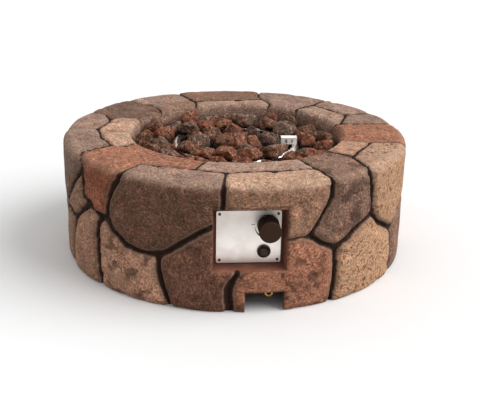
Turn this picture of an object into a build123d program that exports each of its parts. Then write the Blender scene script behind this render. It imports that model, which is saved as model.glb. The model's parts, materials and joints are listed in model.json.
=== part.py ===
"""Round gas fire pit: a cast faux-stone surround with a lava rock bed over a ring burner.

Millimetres, +Z up, origin on the ground at the middle of the surround. The control panel faces -Y.
Angles on the surround run from the front (-Y) towards +X, in degrees.
"""

import math
import os
import random

from build123d import *

os.makedirs("parts", exist_ok=True)

# Cast surround
outer_diameter = 711.0
height = 250.0
mouth_diameter = 430.0
wall = 20.0
deck = 22.0
lip_wall = 18.0
lip_depth = 60.0
outer_round = 20.0
inner_round = 14.0
joint_depth = 8.0
joint_width = 9.0
overrun = 6.0

# Recess for the controls, and the hose notch at its foot
recess_width = 139.0
recess_foot = 80.0
recess_head = 203.0
recess_depth = 43.5
recess_side_draft = 5.5
recess_foot_draft = 1.5
recess_head_draft = 13.0
recess_wall = 14.0
recess_back = 12.0
window_width = 45.0
window_height = 82.0
notch_left = -8.0
notch_width = 73.0
notch_height = 38.0

# Control panel
panel_width = 118.0
panel_height = 101.0
panel_thickness = 1.5
panel_level = 135.0
panel_corner = 3.0
panel_screw_inset = 6.0
panel_screw_diameter = 3.0
panel_screw_length = 12.0
panel_screw_head = 5.0
panel_screw_head_height = 1.6

# Knob, stem and valve, on one axis
knob_offset = 34.5
knob_level = 158.6
knob_diameter = 40.0
knob_length = 36.0
knob_gap = 5.0
knob_shell = 2.5
knob_hub = 14.0
knob_bore_depth = 24.0
knob_hollow_depth = 28.0
knob_edge = 1.5
stem_diameter = 8.0
stem_flat = 1.2
stem_flat_length = 22.0
stem_inside = 22.0
plunger_diameter = 9.6
plunger_length = 12.0
press_travel = 3.0
valve_flange = (38.0, 30.0, 4.0)
bonnet_diameter = 22.0
bonnet_length = 12.0
valve_block = (36.0, 48.0, 36.0)
valve_boss_diameter = 18.0
valve_boss_length = 8.0
valve_screw_spacing = 28.0
valve_screw_diameter = 4.0
valve_screw_length = 9.0
valve_screw_head = 6.6
valve_screw_head_height = 2.2
gas_way = 5.0
gas_way_depth = 20.0

# Push igniter
igniter_offset = 28.0
igniter_level = 107.0
igniter_diameter = 19.6
igniter_length = 42.0
igniter_flange = 24.0
igniter_flange_thickness = 3.0
igniter_nut_diameter = 25.0
igniter_nut_thickness = 4.0
button_diameter = 17.0
button_length = 16.5
button_proud = 5.5
button_dome = 2.5
button_travel = 5.0
terminal_diameter = 4.0
terminal_length = 7.0

# Burner pan
sheet = 2.0
pan_depth = 12.0
pan_flange = 22.0
pan_screw_count = 6
pan_screw_diameter = 5.0
pan_screw_length = 16.0
pan_screw_head = 9.0
pan_screw_head_height = 3.0
drain_count = 10
drain_diameter = 8.0

# Ring burner and what feeds it
ring_radius = 125.0
ring_tube = 16.0
ring_wall = 1.5
ring_lift = 36.0
port_count = 30
port_diameter = 2.6
foot_angles = (136.0, 256.0)
foot_post = 8.0
foot_plate = (22.0, 14.0, 2.0)
riser_diameter = 13.0
riser_wall = 1.5
riser_bend = 12.0
riser_nut_across = 22.0
riser_nut_height = 5.0
mixer_diameter = 22.0
mixer_length = 62.0
mixer_wall = 1.5
mixer_neck = 4.0
mixer_overlap = 12.0
air_window = (22.0, 10.0)
orifice_diameter = 15.0
orifice_length = 24.0
orifice_inside = 10.0
orifice_bore = 1.6
supply_diameter = 8.0
supply_wall = 1.2
flare_nut_across = 15.0
flare_nut_length = 10.0

# Gas inlet
inlet_offset = 40.5
inlet_diameter = 12.0
inlet_wall = 1.5
inlet_level = 20.0
inlet_back = 258.0
inlet_bend = 18.0
inlet_run = 26.0
inlet_thread_diameter = 15.8
inlet_thread_length = 16.0
inlet_hex_across = 19.0
inlet_hex_length = 9.0
inlet_bore = 9.0

# Spark electrode, thermocouple and the slotted guard over them
guard_angle = 86.6
guard_inner = 95.0
guard_outer = 128.0
guard_width = 18.0
guard_height = 14.0
guard_sheet = 1.2
guard_sink = 3.0
guard_slot = (4.5, 7.5)
guard_slot_spacing = 12.0
electrode_radius = 101.0
ceramic_diameter = 6.5
ceramic_length = 52.0
ceramic_top = 34.0
rod_diameter = 2.2
rod_tip = 8.0
rod_tail = 8.0
probe_radius = 110.0
probe_diameter = 4.5
probe_length = 58.0
probe_top = 38.0
probe_nut_across = 9.0
probe_nut_length = 8.0
spark_lead_diameter = 4.5
sense_lead_diameter = 3.0
lead_bend = 15.0
lead_low = 118.0
bracket_y = -100.0
bracket_spark_x = 92.0
bracket_sense_x = 110.0
bracket_sense_level = 128.0
bracket_margin = 8.0
bracket_sheet = 2.0
bracket_foot = 12.0

# Lava rocks
rock_pitch = 48.0
rock_gap = 0.5
rock_rest = 0.3
rock_scatter = 6.0
rock_facets = 13
rock_seat = 32.0
rock_reach = (0.40, 0.60)
cap_seat = 6.0
cap_start = 9.0
cap_reach = (0.48, 0.68)
cap_squat = 0.5
cap_headroom = 4.0
cap_skips = ((40.0, 114.0), (245.0, 290.0))
# Places where the bed dips: angle, radius, reach and depth of each
dips = ((66.0, 108.0, 64.0, 25.0), (274.0, 128.0, 44.0, 9.0))

# Clearances
slip = 0.1
running = 0.08
loose = 0.3
bolt_clearance = 0.2
lead_clearance = 0.8

# Levels and radii that follow from the sizes above
outer_radius = outer_diameter / 2
mouth_radius = mouth_diameter / 2
core_radius = outer_radius - joint_depth
inner_wall = outer_radius - wall
lip_radius = mouth_radius + lip_wall
lip_foot = height - lip_depth
deck_underside = height - deck
panel_front = -(outer_radius - recess_depth + panel_thickness)
recess_floor = panel_front + panel_thickness
pocket_back = recess_floor + recess_back
pan_radius = mouth_radius - 1.0
pan_floor = lip_foot - pan_depth
pan_underside = pan_floor - sheet
ring_level = pan_floor + ring_lift
ring_top = ring_level + ring_tube / 2
valve_back = recess_floor + valve_flange[2] + bonnet_length + valve_block[1]
riser_y = -math.sqrt(ring_radius**2 - knob_offset**2)
mixer_back = riser_y - riser_bend - mixer_overlap / 2
mixer_front = mixer_back - mixer_length
orifice_front = mixer_front - orifice_length + orifice_inside
valve_outlet = valve_back + valve_boss_length
valve_foot = knob_level - valve_block[2] / 2 - valve_boss_length
stem_end = recess_floor + stem_inside
knob_back = panel_front - knob_gap
igniter_front = panel_front - igniter_nut_thickness + 0.5
igniter_back = igniter_front + igniter_length
guard_foot = ring_top - guard_sink


def around(angle, radius, level=0.0):
    """A point at an angle from the front and a distance from the axis."""
    turn = math.radians(angle)
    return Vector(radius * math.sin(turn), -radius * math.cos(turn), level)


def facing(angle, radius, level=0.0):
    """A plane that faces outwards at an angle, with its x along the wall and its y upwards."""
    return Plane(around(angle, radius, level), x_dir=around(angle + 90, 1), z_dir=around(angle, 1))


def front_plane(offset, level, depth):
    """A plane that faces the front, at a depth along Y."""
    return Plane((offset, depth, level), x_dir=(1, 0, 0), z_dir=(0, -1, 0))


def save(builder, name):
    """Labels a finished piece and writes it under its own name."""
    builder.part.label = name
    export_step(builder.part, f"parts/{name}.step")


# Joint lines between the cast stones. On the wall a point is (angle, height above the ground),
# on the deck it is (angle, distance in from the outer edge).
FOOT = -overrun
HEAD = height + overrun
EDGE = -overrun
MOUTH = outer_radius - mouth_radius + overrun

DECK_JOINTS = [
    [(-8, EDGE), (-8, 75)],
    [(-21, 80), (-8, 75), (13.5, 80), (26.3, 66)],
    [(-21, 80), (-18.8, MOUTH)],
    [(25, EDGE), (26.3, 66), (27.5, MOUTH)],
    [(-41.5, EDGE), (-41.5, 60), (-21, 80)],
    [(39.5, EDGE), (48, 74), (47.7, MOUTH)],
    [(48, 74), (70.8, 73)],
    [(73.3, EDGE), (70.8, 73), (70.4, MOUTH)],
    [(97.6, EDGE), (99.8, 78), (101.6, 120), (101.4, MOUTH)],
    [(113.8, EDGE), (115, 72), (101.6, 120)],
    [(115, 72), (125, 74), (136.8, 69)],
    [(137, EDGE), (136.8, 69), (138.8, 120), (136.4, MOUTH)],
    [(166.4, EDGE), (164.8, 58), (156.3, 115), (154.8, MOUTH)],
    [(199.5, EDGE), (197, 101), (200.6, MOUTH)],
    [(222.6, EDGE), (220.1, 59), (221, 111), (226.5, MOUTH)],
    [(220.1, 59), (216, 84), (197.3, 90)],
    [(197, 98), (180.6, 99), (162.2, 75)],
    [(242.6, EDGE), (244.7, 51), (250.8, 78), (245.8, 98), (244.7, MOUTH)],
    [(250.8, 78), (254.6, 82), (267, 68), (280.4, 79), (292.4, 86)],
    [(266.7, EDGE), (267, 68)],
    [(298, EDGE), (294.2, 33), (292.4, 86), (294.2, MOUTH)],
]
FRONT_WALL_JOINTS = [
    [(-8, HEAD), (-8, 190)],
    [(-41.5, HEAD), (-42.5, 225), (-47, 163), (-48.5, 141)],
    [(-62, HEAD), (-60.3, 200), (-61, 166), (-56.5, 157)],
    [(-56.5, 157), (-54.7, 142), (-48.5, 141)],
    [(-60.6, 218), (-72, 160), (-81, 112)],
    [(-56.5, 157), (-67.4, 107), (-69.7, 78), (-72, FOOT)],
    [(-67.4, 107), (-81, 112), (-88, 60), (-89, FOOT)],
    [(-48.5, 141), (-53, 73), (-51, 54), (-52, FOOT)],
    [(-48.5, 141), (-44.5, 124), (-39, 104), (-28, 101)],
    [(-28, 101), (-10, 169)],
    [(-28, 101), (-27.5, 65), (-24.7, FOOT)],
    [(-4, 88), (-6, 50), (-6, FOOT)],
    [(25, HEAD), (23.5, 212), (18.3, 143), (28, 108)],
    [(18.3, 143), (9, 140)],
    [(39.5, HEAD), (41, 222), (42.5, 152), (28, 108)],
    [(28, 108), (27.6, 67), (26, FOOT)],
    [(42.5, 152), (47.5, 129), (56.5, 101)],
    [(56.5, 101), (58.8, 48), (57, FOOT)],
]
# Behind, the courses meet in a zigzag: low corners have a joint down to the ground, high ones up to the edge.
BACK_COURSE = [
    (56.5, 101), (73.3, 148), (85, 98), (97.6, 142), (107, 104), (113.8, 152), (126, 100), (137, 146),
    (152, 96), (166.4, 144), (182, 104), (199.5, 150), (210, 98), (222.6, 146), (233, 102), (242.6, 150),
    (255, 100), (266.7, 148), (279, 112),
]  # fmt: skip


def wall_joints():
    """Every joint line on the outer wall."""
    lines = FRONT_WALL_JOINTS + [BACK_COURSE]
    for number, (angle, level) in enumerate(BACK_COURSE[1:-1]):
        lines = lines + [[(angle, level), (angle, HEAD if number % 2 == 0 else FOOT)]]
    return lines


def cut_slot(start, end):
    """A round-ended strip along one stretch of a joint, in the sketch that is open."""
    run = Vector(*end) - Vector(*start)
    with Locations((Vector(*start) + Vector(*end)) / 2):
        SlotCenterToCenter(run.length, joint_width, rotation=math.degrees(math.atan2(run.Y, run.X)))


def surround_profile(inset):
    """The outline of the casting's shell, drawn in from its stone faces by an inset."""
    outer, top, mouth = outer_radius - inset, height - inset, mouth_radius + inset
    with BuildSketch(Plane.XZ) as profile:
        with BuildLine():
            Polyline(
                (outer, 0), (outer, top), (mouth, top), (mouth, lip_foot), (lip_radius, lip_foot),
                (lip_radius, deck_underside), (inner_wall, deck_underside), (inner_wall, 0), close=True,
            )  # fmt: skip
        make_face()
        corners = profile.vertices().group_by(Axis.Y)[-1].sort_by(Axis.X)
        fillet(corners[0], radius=inner_round - inset)
        corners = profile.vertices().sort_by(Axis.X)
        fillet(corners.group_by(Axis.X)[-1].sort_by(Axis.Y)[-1], radius=outer_round - inset)
    return profile.sketch


# Stone joints, as cutters that stop at the casting's core
with BuildPart() as joint_core:
    revolve(surround_profile(joint_depth), axis=Axis.Z)

with BuildPart() as joint_cutters:
    for line in wall_joints():
        for start, end in zip(line, line[1:]):
            middle = (start[0] + end[0]) / 2
            along = [outer_radius * math.sin(math.radians(point[0] - middle)) for point in (start, end)]
            with BuildSketch(facing(middle, outer_radius - wall)):
                cut_slot((along[0], start[1]), (along[1], end[1]))
    extrude(amount=wall + overrun)
    with BuildSketch(Plane.XY.offset(height - deck)):
        for line in DECK_JOINTS:
            ends = [around(angle, outer_radius - inset) for angle, inset in line]
            for start, end in zip(ends, ends[1:]):
                cut_slot((start.X, start.Y), (end.X, end.Y))
    extrude(amount=deck + overrun)
    add(joint_core.part, mode=Mode.SUBTRACT)

with BuildPart() as stone_surround:
    revolve(surround_profile(0), axis=Axis.Z)
    add(joint_cutters.part, mode=Mode.SUBTRACT)
    # the box of the recess, cast behind the wall
    pocket_head = recess_head + recess_wall
    pocket_foot = recess_foot - recess_wall
    pocket_width = recess_width + 2 * recess_wall
    with BuildSketch(front_plane(0, (pocket_head + pocket_foot) / 2, pocket_back)):
        Rectangle(pocket_width, pocket_head - pocket_foot)
    extrude(amount=recess_back + recess_depth - wall + 2)
    # the recess, drawn in towards its floor
    mouth_centre = (recess_head + recess_foot) / 2
    floor_height = recess_head - recess_foot - recess_foot_draft - recess_head_draft
    floor_centre = recess_foot + recess_foot_draft + floor_height / 2
    with BuildSketch(front_plane(0, mouth_centre, -outer_radius - overrun)):
        Rectangle(recess_width, recess_head - recess_foot)
    with BuildSketch(front_plane(0, floor_centre, recess_floor)):
        Rectangle(recess_width - 2 * recess_side_draft, floor_height)
    loft(mode=Mode.SUBTRACT)
    # the window behind the panel
    with BuildSketch(front_plane(knob_offset, panel_level, pocket_back + overrun)):
        Rectangle(window_width, window_height)
    extrude(amount=recess_back + 2 * overrun, mode=Mode.SUBTRACT)
    # the hose notch
    with BuildSketch(front_plane(notch_left + notch_width / 2, 0, pocket_back)):
        Rectangle(notch_width, 2 * notch_height)
    extrude(amount=outer_radius + pocket_back + overrun, mode=Mode.SUBTRACT)
    # screw holes for the panel and the burner pan
    with Locations(front_plane(0, panel_level, recess_floor)):
        with GridLocations(panel_width - 2 * panel_screw_inset, panel_height - 2 * panel_screw_inset, 2, 2):
            Hole(panel_screw_diameter / 2 + slip, depth=recess_back - 1)
    with Locations(Plane.XY.offset(lip_foot).rotated((180, 0, 0))):
        with PolarLocations(mouth_radius + lip_wall / 2, pan_screw_count):
            Hole(pan_screw_diameter / 2 + slip, depth=pan_screw_length)
save(stone_surround, "stone_surround")


# Burner pan: a flat steel floor, and a rim welded on its edge that is screwed up under the lip
with BuildPart() as burner_pan:
    with BuildSketch(Plane.XY.offset(pan_underside)):
        Circle(pan_radius)
        with PolarLocations((ring_radius + pan_radius) / 2, drain_count):
            Circle(drain_diameter / 2, mode=Mode.SUBTRACT)
        with Locations((knob_offset, riser_y)):
            Circle(riser_diameter / 2 + slip, mode=Mode.SUBTRACT)
        with Locations(around(guard_angle, electrode_radius)):
            Circle(ceramic_diameter / 2 + slip, mode=Mode.SUBTRACT)
        with Locations(around(guard_angle, probe_radius)):
            Circle(probe_diameter / 2 + slip, mode=Mode.SUBTRACT)
    extrude(amount=sheet)
save(burner_pan, "burner_pan")

with BuildPart() as pan_rim:
    with BuildSketch(Plane.XZ):
        with BuildLine():
            Polyline(
                (pan_radius - sheet, pan_floor), (pan_radius, pan_floor), (pan_radius, lip_foot - sheet),
                (pan_radius + pan_flange, lip_foot - sheet), (pan_radius + pan_flange, lip_foot),
                (pan_radius - sheet, lip_foot), close=True,
            )  # fmt: skip
        make_face()
    revolve(axis=Axis.Z)
    with BuildSketch(Plane.XY.offset(lip_foot)):
        with PolarLocations(mouth_radius + lip_wall / 2, pan_screw_count):
            Circle(pan_screw_diameter / 2 + bolt_clearance)
    extrude(amount=-2 * sheet, mode=Mode.SUBTRACT)
save(pan_rim, "pan_rim")

with BuildPart() as pan_screws:
    with BuildSketch(Plane.XY.offset(lip_foot - sheet - pan_screw_head_height)):
        with PolarLocations(mouth_radius + lip_wall / 2, pan_screw_count):
            Circle(pan_screw_head / 2)
    extrude(amount=pan_screw_head_height)
    with BuildSketch(Plane.XY.offset(lip_foot - sheet)):
        with PolarLocations(mouth_radius + lip_wall / 2, pan_screw_count):
            Circle(pan_screw_diameter / 2)
    extrude(amount=pan_screw_length)
save(pan_screws, "pan_screws")


# Ring burner: two half tubes welded end to end, standing on feet and a riser
with BuildPart() as ring_envelope:
    with Locations((0, 0, ring_level)):
        Torus(ring_radius, ring_tube / 2)


def half_ring(turn):
    """Half of the burner's tube with its row of gas ports, from +X by half a turn either way."""
    with BuildPart() as half:
        with BuildSketch(Plane.XZ):
            with Locations((ring_radius, ring_level)):
                Circle(ring_tube / 2)
                Circle(ring_tube / 2 - ring_wall, mode=Mode.SUBTRACT)
        revolve(axis=Axis.Z, revolution_arc=turn)
        with BuildSketch(Plane.XY.offset(ring_level)):
            with PolarLocations(ring_radius, port_count // 2, turn / port_count, turn):
                Circle(port_diameter / 2)
        extrude(amount=ring_tube, mode=Mode.SUBTRACT)
    return half.part


with BuildPart() as burner_ring_back:
    add(half_ring(180))
save(burner_ring_back, "burner_ring_back")

with BuildPart() as burner_ring_front:
    add(half_ring(-180))
    with BuildSketch(Plane.XY.offset(ring_level)):
        with Locations((knob_offset, riser_y)):
            Circle(riser_diameter / 2 - riser_wall)
    extrude(amount=-ring_tube, mode=Mode.SUBTRACT)
save(burner_ring_front, "burner_ring_front")

with BuildPart() as burner_feet:
    for angle in foot_angles:
        with BuildSketch(Plane.XY.offset(pan_floor)):
            with Locations(around(angle, ring_radius)):
                Rectangle(foot_plate[0], foot_plate[1], rotation=angle)
        extrude(amount=foot_plate[2])
        with BuildSketch(Plane.XY.offset(pan_floor)):
            with Locations(around(angle, ring_radius)):
                Circle(foot_post / 2)
        extrude(amount=ring_lift)
    add(ring_envelope.part, mode=Mode.SUBTRACT)
save(burner_feet, "burner_feet")

with BuildPart() as burner_riser:
    riser_start = mixer_back - mixer_overlap
    with BuildLine() as riser_path:
        FilletPolyline(
            (knob_offset, riser_start, knob_level),
            (knob_offset, riser_y, knob_level),
            (knob_offset, riser_y, ring_level),
            radius=riser_bend,
        )
    with BuildSketch(front_plane(knob_offset, knob_level, riser_start)):
        Circle(riser_diameter / 2)
        Circle(riser_diameter / 2 - riser_wall, mode=Mode.SUBTRACT)
    sweep(path=riser_path.line)
    add(ring_envelope.part, mode=Mode.SUBTRACT)
save(burner_riser, "burner_riser")

with BuildPart() as riser_nut:
    with BuildSketch(Plane.XY.offset(pan_underside)):
        with Locations((knob_offset, riser_y)):
            RegularPolygon(riser_nut_across / 2, 6, major_radius=False)
            Circle(riser_diameter / 2 + slip, mode=Mode.SUBTRACT)
    extrude(amount=-riser_nut_height)
save(riser_nut, "riser_nut")


# Air mixer, orifice and supply tube, in line with the valve
with BuildPart() as air_mixer:
    with BuildSketch(front_plane(knob_offset, knob_level, mixer_back)):
        Circle(mixer_diameter / 2)
    extrude(amount=mixer_length)
    with BuildSketch(front_plane(knob_offset, knob_level, mixer_back)):
        Circle(riser_diameter / 2 + slip)
    extrude(amount=mixer_overlap, mode=Mode.SUBTRACT)
    with BuildSketch(front_plane(knob_offset, knob_level, mixer_back - mixer_overlap)):
        Circle(mixer_diameter / 2 - mixer_wall)
    extrude(amount=mixer_length - mixer_overlap - mixer_neck, mode=Mode.SUBTRACT)
    with BuildSketch(front_plane(knob_offset, knob_level, mixer_front + mixer_neck)):
        Circle(orifice_diameter / 2 + slip)
    extrude(amount=mixer_neck, mode=Mode.SUBTRACT)
    with BuildSketch(Plane.YZ.offset(knob_offset)):
        with Locations(((mixer_front + mixer_back - mixer_overlap) / 2, knob_level)):
            Rectangle(*air_window)
    extrude(amount=mixer_diameter, both=True, mode=Mode.SUBTRACT)
save(air_mixer, "air_mixer")

with BuildPart() as gas_orifice:
    with BuildSketch(front_plane(knob_offset, knob_level, orifice_front + orifice_length)):
        Circle(orifice_diameter / 2)
        Circle(orifice_bore / 2, mode=Mode.SUBTRACT)
    extrude(amount=orifice_length)
save(gas_orifice, "gas_orifice")

with BuildPart() as supply_tube:
    with BuildSketch(front_plane(knob_offset, knob_level, orifice_front)):
        Circle(supply_diameter / 2)
        Circle(supply_diameter / 2 - supply_wall, mode=Mode.SUBTRACT)
    extrude(amount=orifice_front - valve_outlet)
save(supply_tube, "supply_tube")

with BuildPart() as flare_nuts:
    for start in (orifice_front, valve_outlet + flare_nut_length):
        with BuildSketch(front_plane(knob_offset, knob_level, start)):
            RegularPolygon(flare_nut_across / 2, 6, major_radius=False)
            Circle(supply_diameter / 2 + slip, mode=Mode.SUBTRACT)
        extrude(amount=flare_nut_length)
save(flare_nuts, "flare_nuts")


# Gas valve behind the panel
with BuildPart() as valve_body:
    with BuildSketch(front_plane(knob_offset, knob_level, recess_floor + valve_flange[2])):
        Rectangle(valve_flange[0], valve_flange[1])
    extrude(amount=valve_flange[2])
    with BuildSketch(front_plane(knob_offset, knob_level, valve_back)):
        Circle(bonnet_diameter / 2)
    extrude(amount=valve_block[1] + bonnet_length)
    with BuildSketch(front_plane(knob_offset, knob_level, valve_back)):
        Rectangle(valve_block[0], valve_block[2])
    extrude(amount=valve_block[1])
    with BuildSketch(front_plane(knob_offset, knob_level, valve_outlet)):
        Circle(valve_boss_diameter / 2)
    extrude(amount=valve_boss_length)
    with BuildSketch(Plane.XY.offset(valve_foot)):
        with Locations((inlet_offset, -inlet_back)):
            Circle(valve_boss_diameter / 2)
    extrude(amount=valve_boss_length)
    # stem and plunger bores
    with BuildSketch(front_plane(knob_offset, knob_level, stem_end)):
        Circle(stem_diameter / 2 + running)
    extrude(amount=stem_inside, mode=Mode.SUBTRACT)
    plunger_room = plunger_length + press_travel + 1
    with BuildSketch(front_plane(knob_offset, knob_level, stem_end + plunger_room)):
        Circle(plunger_diameter / 2 + loose)
    extrude(amount=plunger_room, mode=Mode.SUBTRACT)
    # gas ways at the outlet and the inlet
    with BuildSketch(front_plane(knob_offset, knob_level, valve_outlet)):
        Circle(gas_way / 2)
    extrude(amount=gas_way_depth, mode=Mode.SUBTRACT)
    with BuildSketch(Plane.XY.offset(valve_foot)):
        with Locations((inlet_offset, -inlet_back)):
            Circle(gas_way / 2)
    extrude(amount=gas_way_depth, mode=Mode.SUBTRACT)
    with BuildSketch(front_plane(knob_offset, knob_level, recess_floor)):
        with GridLocations(valve_screw_spacing, 0, 2, 1):
            Circle(valve_screw_diameter / 2 + slip)
    extrude(amount=-valve_flange[2], mode=Mode.SUBTRACT)
save(valve_body, "valve_body")

with BuildPart() as valve_screws:
    with BuildSketch(front_plane(knob_offset, knob_level, panel_front)):
        with GridLocations(valve_screw_spacing, 0, 2, 1):
            Circle(valve_screw_head / 2)
    extrude(amount=valve_screw_head_height)
    with BuildSketch(front_plane(knob_offset, knob_level, panel_front)):
        with GridLocations(valve_screw_spacing, 0, 2, 1):
            Circle(valve_screw_diameter / 2)
    extrude(amount=-valve_screw_length)
save(valve_screws, "valve_screws")

with BuildPart() as valve_plunger:
    with BuildSketch(front_plane(knob_offset, knob_level, stem_end + plunger_length)):
        Circle(plunger_diameter / 2)
    extrude(amount=plunger_length)
save(valve_plunger, "valve_plunger")

with BuildPart() as valve_stem:
    stem_tip = knob_back - knob_bore_depth + loose
    with BuildSketch(front_plane(knob_offset, knob_level, stem_end)):
        Circle(stem_diameter / 2)
    extrude(amount=stem_end - stem_tip)
    with BuildSketch(front_plane(knob_offset, knob_level, stem_tip)):
        with Locations((0, stem_diameter / 2)):
            Rectangle(stem_diameter, 2 * stem_flat)
    extrude(amount=-stem_flat_length, mode=Mode.SUBTRACT)
save(valve_stem, "valve_stem")

with BuildPart() as control_knob:
    with BuildSketch(front_plane(knob_offset, knob_level, knob_back)):
        Circle(knob_diameter / 2)
    extrude(amount=knob_length)
    fillet(control_knob.faces().sort_by(Axis.Y)[0].edges(), radius=knob_edge)
    with BuildSketch(front_plane(knob_offset, knob_level, knob_back)):
        Circle(knob_diameter / 2 - knob_shell)
        Circle(knob_hub / 2, mode=Mode.SUBTRACT)
    extrude(amount=knob_hollow_depth, mode=Mode.SUBTRACT)
    with BuildSketch(front_plane(knob_offset, knob_level, knob_back)):
        Circle(stem_diameter / 2 + slip)
        with Locations((0, stem_diameter / 2)):
            Rectangle(stem_diameter, 2 * (stem_flat - slip), mode=Mode.SUBTRACT)
    extrude(amount=knob_bore_depth, mode=Mode.SUBTRACT)
    # the round start of the bore, before the stem's flat
    with BuildSketch(front_plane(knob_offset, knob_level, knob_back)):
        Circle(stem_diameter / 2 + slip)
    extrude(amount=knob_bore_depth - stem_flat_length + 2, mode=Mode.SUBTRACT)
save(control_knob, "control_knob")


# Gas inlet: a pipe down from the valve to a flare fitting behind the hose notch
with BuildPart() as inlet_pipe:
    inlet_end = -inlet_back - inlet_run
    with BuildLine() as inlet_path:
        FilletPolyline(
            (inlet_offset, -inlet_back, valve_foot),
            (inlet_offset, -inlet_back, inlet_level),
            (inlet_offset, inlet_end, inlet_level),
            radius=inlet_bend,
        )
    with BuildSketch(Plane((inlet_offset, -inlet_back, valve_foot), x_dir=(1, 0, 0), z_dir=(0, 0, -1))):
        Circle(inlet_diameter / 2)
        Circle(inlet_diameter / 2 - inlet_wall, mode=Mode.SUBTRACT)
    sweep(path=inlet_path.line)
save(inlet_pipe, "inlet_pipe")

with BuildPart() as inlet_fitting:
    with BuildSketch(front_plane(inlet_offset, inlet_level, inlet_end)):
        RegularPolygon(inlet_hex_across / 2, 6, major_radius=False)
    extrude(amount=inlet_hex_length)
    with BuildSketch(front_plane(inlet_offset, inlet_level, inlet_end)):
        Circle(inlet_thread_diameter / 2)
    extrude(amount=inlet_hex_length + inlet_thread_length)
    with BuildSketch(front_plane(inlet_offset, inlet_level, inlet_end)):
        Circle(inlet_bore / 2)
    extrude(amount=inlet_hex_length + inlet_thread_length, mode=Mode.SUBTRACT)
save(inlet_fitting, "inlet_fitting")


# Control panel and its screws
with BuildPart() as control_panel:
    with BuildSketch(front_plane(0, panel_level, recess_floor)):
        RectangleRounded(panel_width, panel_height, panel_corner)
        with GridLocations(panel_width - 2 * panel_screw_inset, panel_height - 2 * panel_screw_inset, 2, 2):
            Circle(panel_screw_diameter / 2 + bolt_clearance, mode=Mode.SUBTRACT)
        with Locations((knob_offset, knob_level - panel_level)):
            Circle(stem_diameter / 2 + loose, mode=Mode.SUBTRACT)
            with GridLocations(valve_screw_spacing, 0, 2, 1):
                Circle(valve_screw_diameter / 2 + bolt_clearance, mode=Mode.SUBTRACT)
        with Locations((igniter_offset, igniter_level - panel_level)):
            Circle(igniter_diameter / 2 + bolt_clearance, mode=Mode.SUBTRACT)
    extrude(amount=panel_thickness)
save(control_panel, "control_panel")

with BuildPart() as panel_screws:
    with BuildSketch(front_plane(0, panel_level, panel_front)):
        with GridLocations(panel_width - 2 * panel_screw_inset, panel_height - 2 * panel_screw_inset, 2, 2):
            Circle(panel_screw_head / 2)
    extrude(amount=panel_screw_head_height)
    with BuildSketch(front_plane(0, panel_level, panel_front)):
        with GridLocations(panel_width - 2 * panel_screw_inset, panel_height - 2 * panel_screw_inset, 2, 2):
            Circle(panel_screw_diameter / 2)
    extrude(amount=-panel_screw_length)
save(panel_screws, "panel_screws")


# Push igniter
with BuildPart() as igniter_body:
    with BuildSketch(front_plane(igniter_offset, igniter_level, igniter_back)):
        Circle(igniter_diameter / 2)
    extrude(amount=igniter_length)
    with BuildSketch(front_plane(igniter_offset, igniter_level, recess_floor)):
        Circle(igniter_flange / 2)
    extrude(amount=-igniter_flange_thickness)
    with BuildSketch(front_plane(igniter_offset, igniter_level, igniter_back + terminal_length)):
        Circle(terminal_diameter / 2)
    extrude(amount=terminal_length)
    button_room = button_length - button_proud + button_travel + 1
    with BuildSketch(front_plane(igniter_offset, igniter_level, igniter_front)):
        Circle(button_diameter / 2 + loose)
    extrude(amount=-button_room, mode=Mode.SUBTRACT)
save(igniter_body, "igniter_body")

with BuildPart() as igniter_nut:
    with BuildSketch(front_plane(igniter_offset, igniter_level, panel_front)):
        Circle(igniter_nut_diameter / 2)
        Circle(igniter_diameter / 2 + slip, mode=Mode.SUBTRACT)
    extrude(amount=igniter_nut_thickness)
    fillet(igniter_nut.faces().sort_by(Axis.Y)[0].edges().sort_by(SortBy.RADIUS)[-1], radius=1.0)
save(igniter_nut, "igniter_nut")

with BuildPart() as igniter_button:
    button_back = igniter_front - button_proud + button_length
    with BuildSketch(front_plane(igniter_offset, igniter_level, button_back)):
        Circle(button_diameter / 2)
    extrude(amount=button_length)
    fillet(igniter_button.faces().sort_by(Axis.Y)[0].edges(), radius=button_dome)
save(igniter_button, "igniter_button")


# Spark electrode and thermocouple beside the ring, with their leads
spark_top = pan_floor + ceramic_top
rod_foot = spark_top - ceramic_length - rod_tail
with BuildPart() as electrode_ceramic:
    with BuildSketch(Plane.XY.offset(spark_top)):
        with Locations(around(guard_angle, electrode_radius)):
            Circle(ceramic_diameter / 2)
            Circle(rod_diameter / 2 + slip, mode=Mode.SUBTRACT)
    extrude(amount=-ceramic_length)
save(electrode_ceramic, "electrode_ceramic")

with BuildPart() as electrode_rod:
    with BuildSketch(Plane.XY.offset(rod_foot)):
        with Locations(around(guard_angle, electrode_radius)):
            Circle(rod_diameter / 2)
    extrude(amount=rod_tail + ceramic_length + rod_tip)
save(electrode_rod, "electrode_rod")

probe_foot = pan_floor + probe_top - probe_length
with BuildPart() as thermocouple_probe:
    with BuildSketch(Plane.XY.offset(probe_foot)):
        with Locations(around(guard_angle, probe_radius)):
            Circle(probe_diameter / 2)
    extrude(amount=probe_length)
    fillet(thermocouple_probe.faces().sort_by(Axis.Z)[-1].edges(), radius=probe_diameter / 4)
save(thermocouple_probe, "thermocouple_probe")

with BuildPart() as thermocouple_nut:
    with BuildSketch(Plane.XY.offset(pan_underside)):
        with Locations(around(guard_angle, probe_radius)):
            RegularPolygon(probe_nut_across / 2, 6, major_radius=False)
            Circle(probe_diameter / 2 + slip, mode=Mode.SUBTRACT)
    extrude(amount=-probe_nut_length)
save(thermocouple_nut, "thermocouple_nut")

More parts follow.
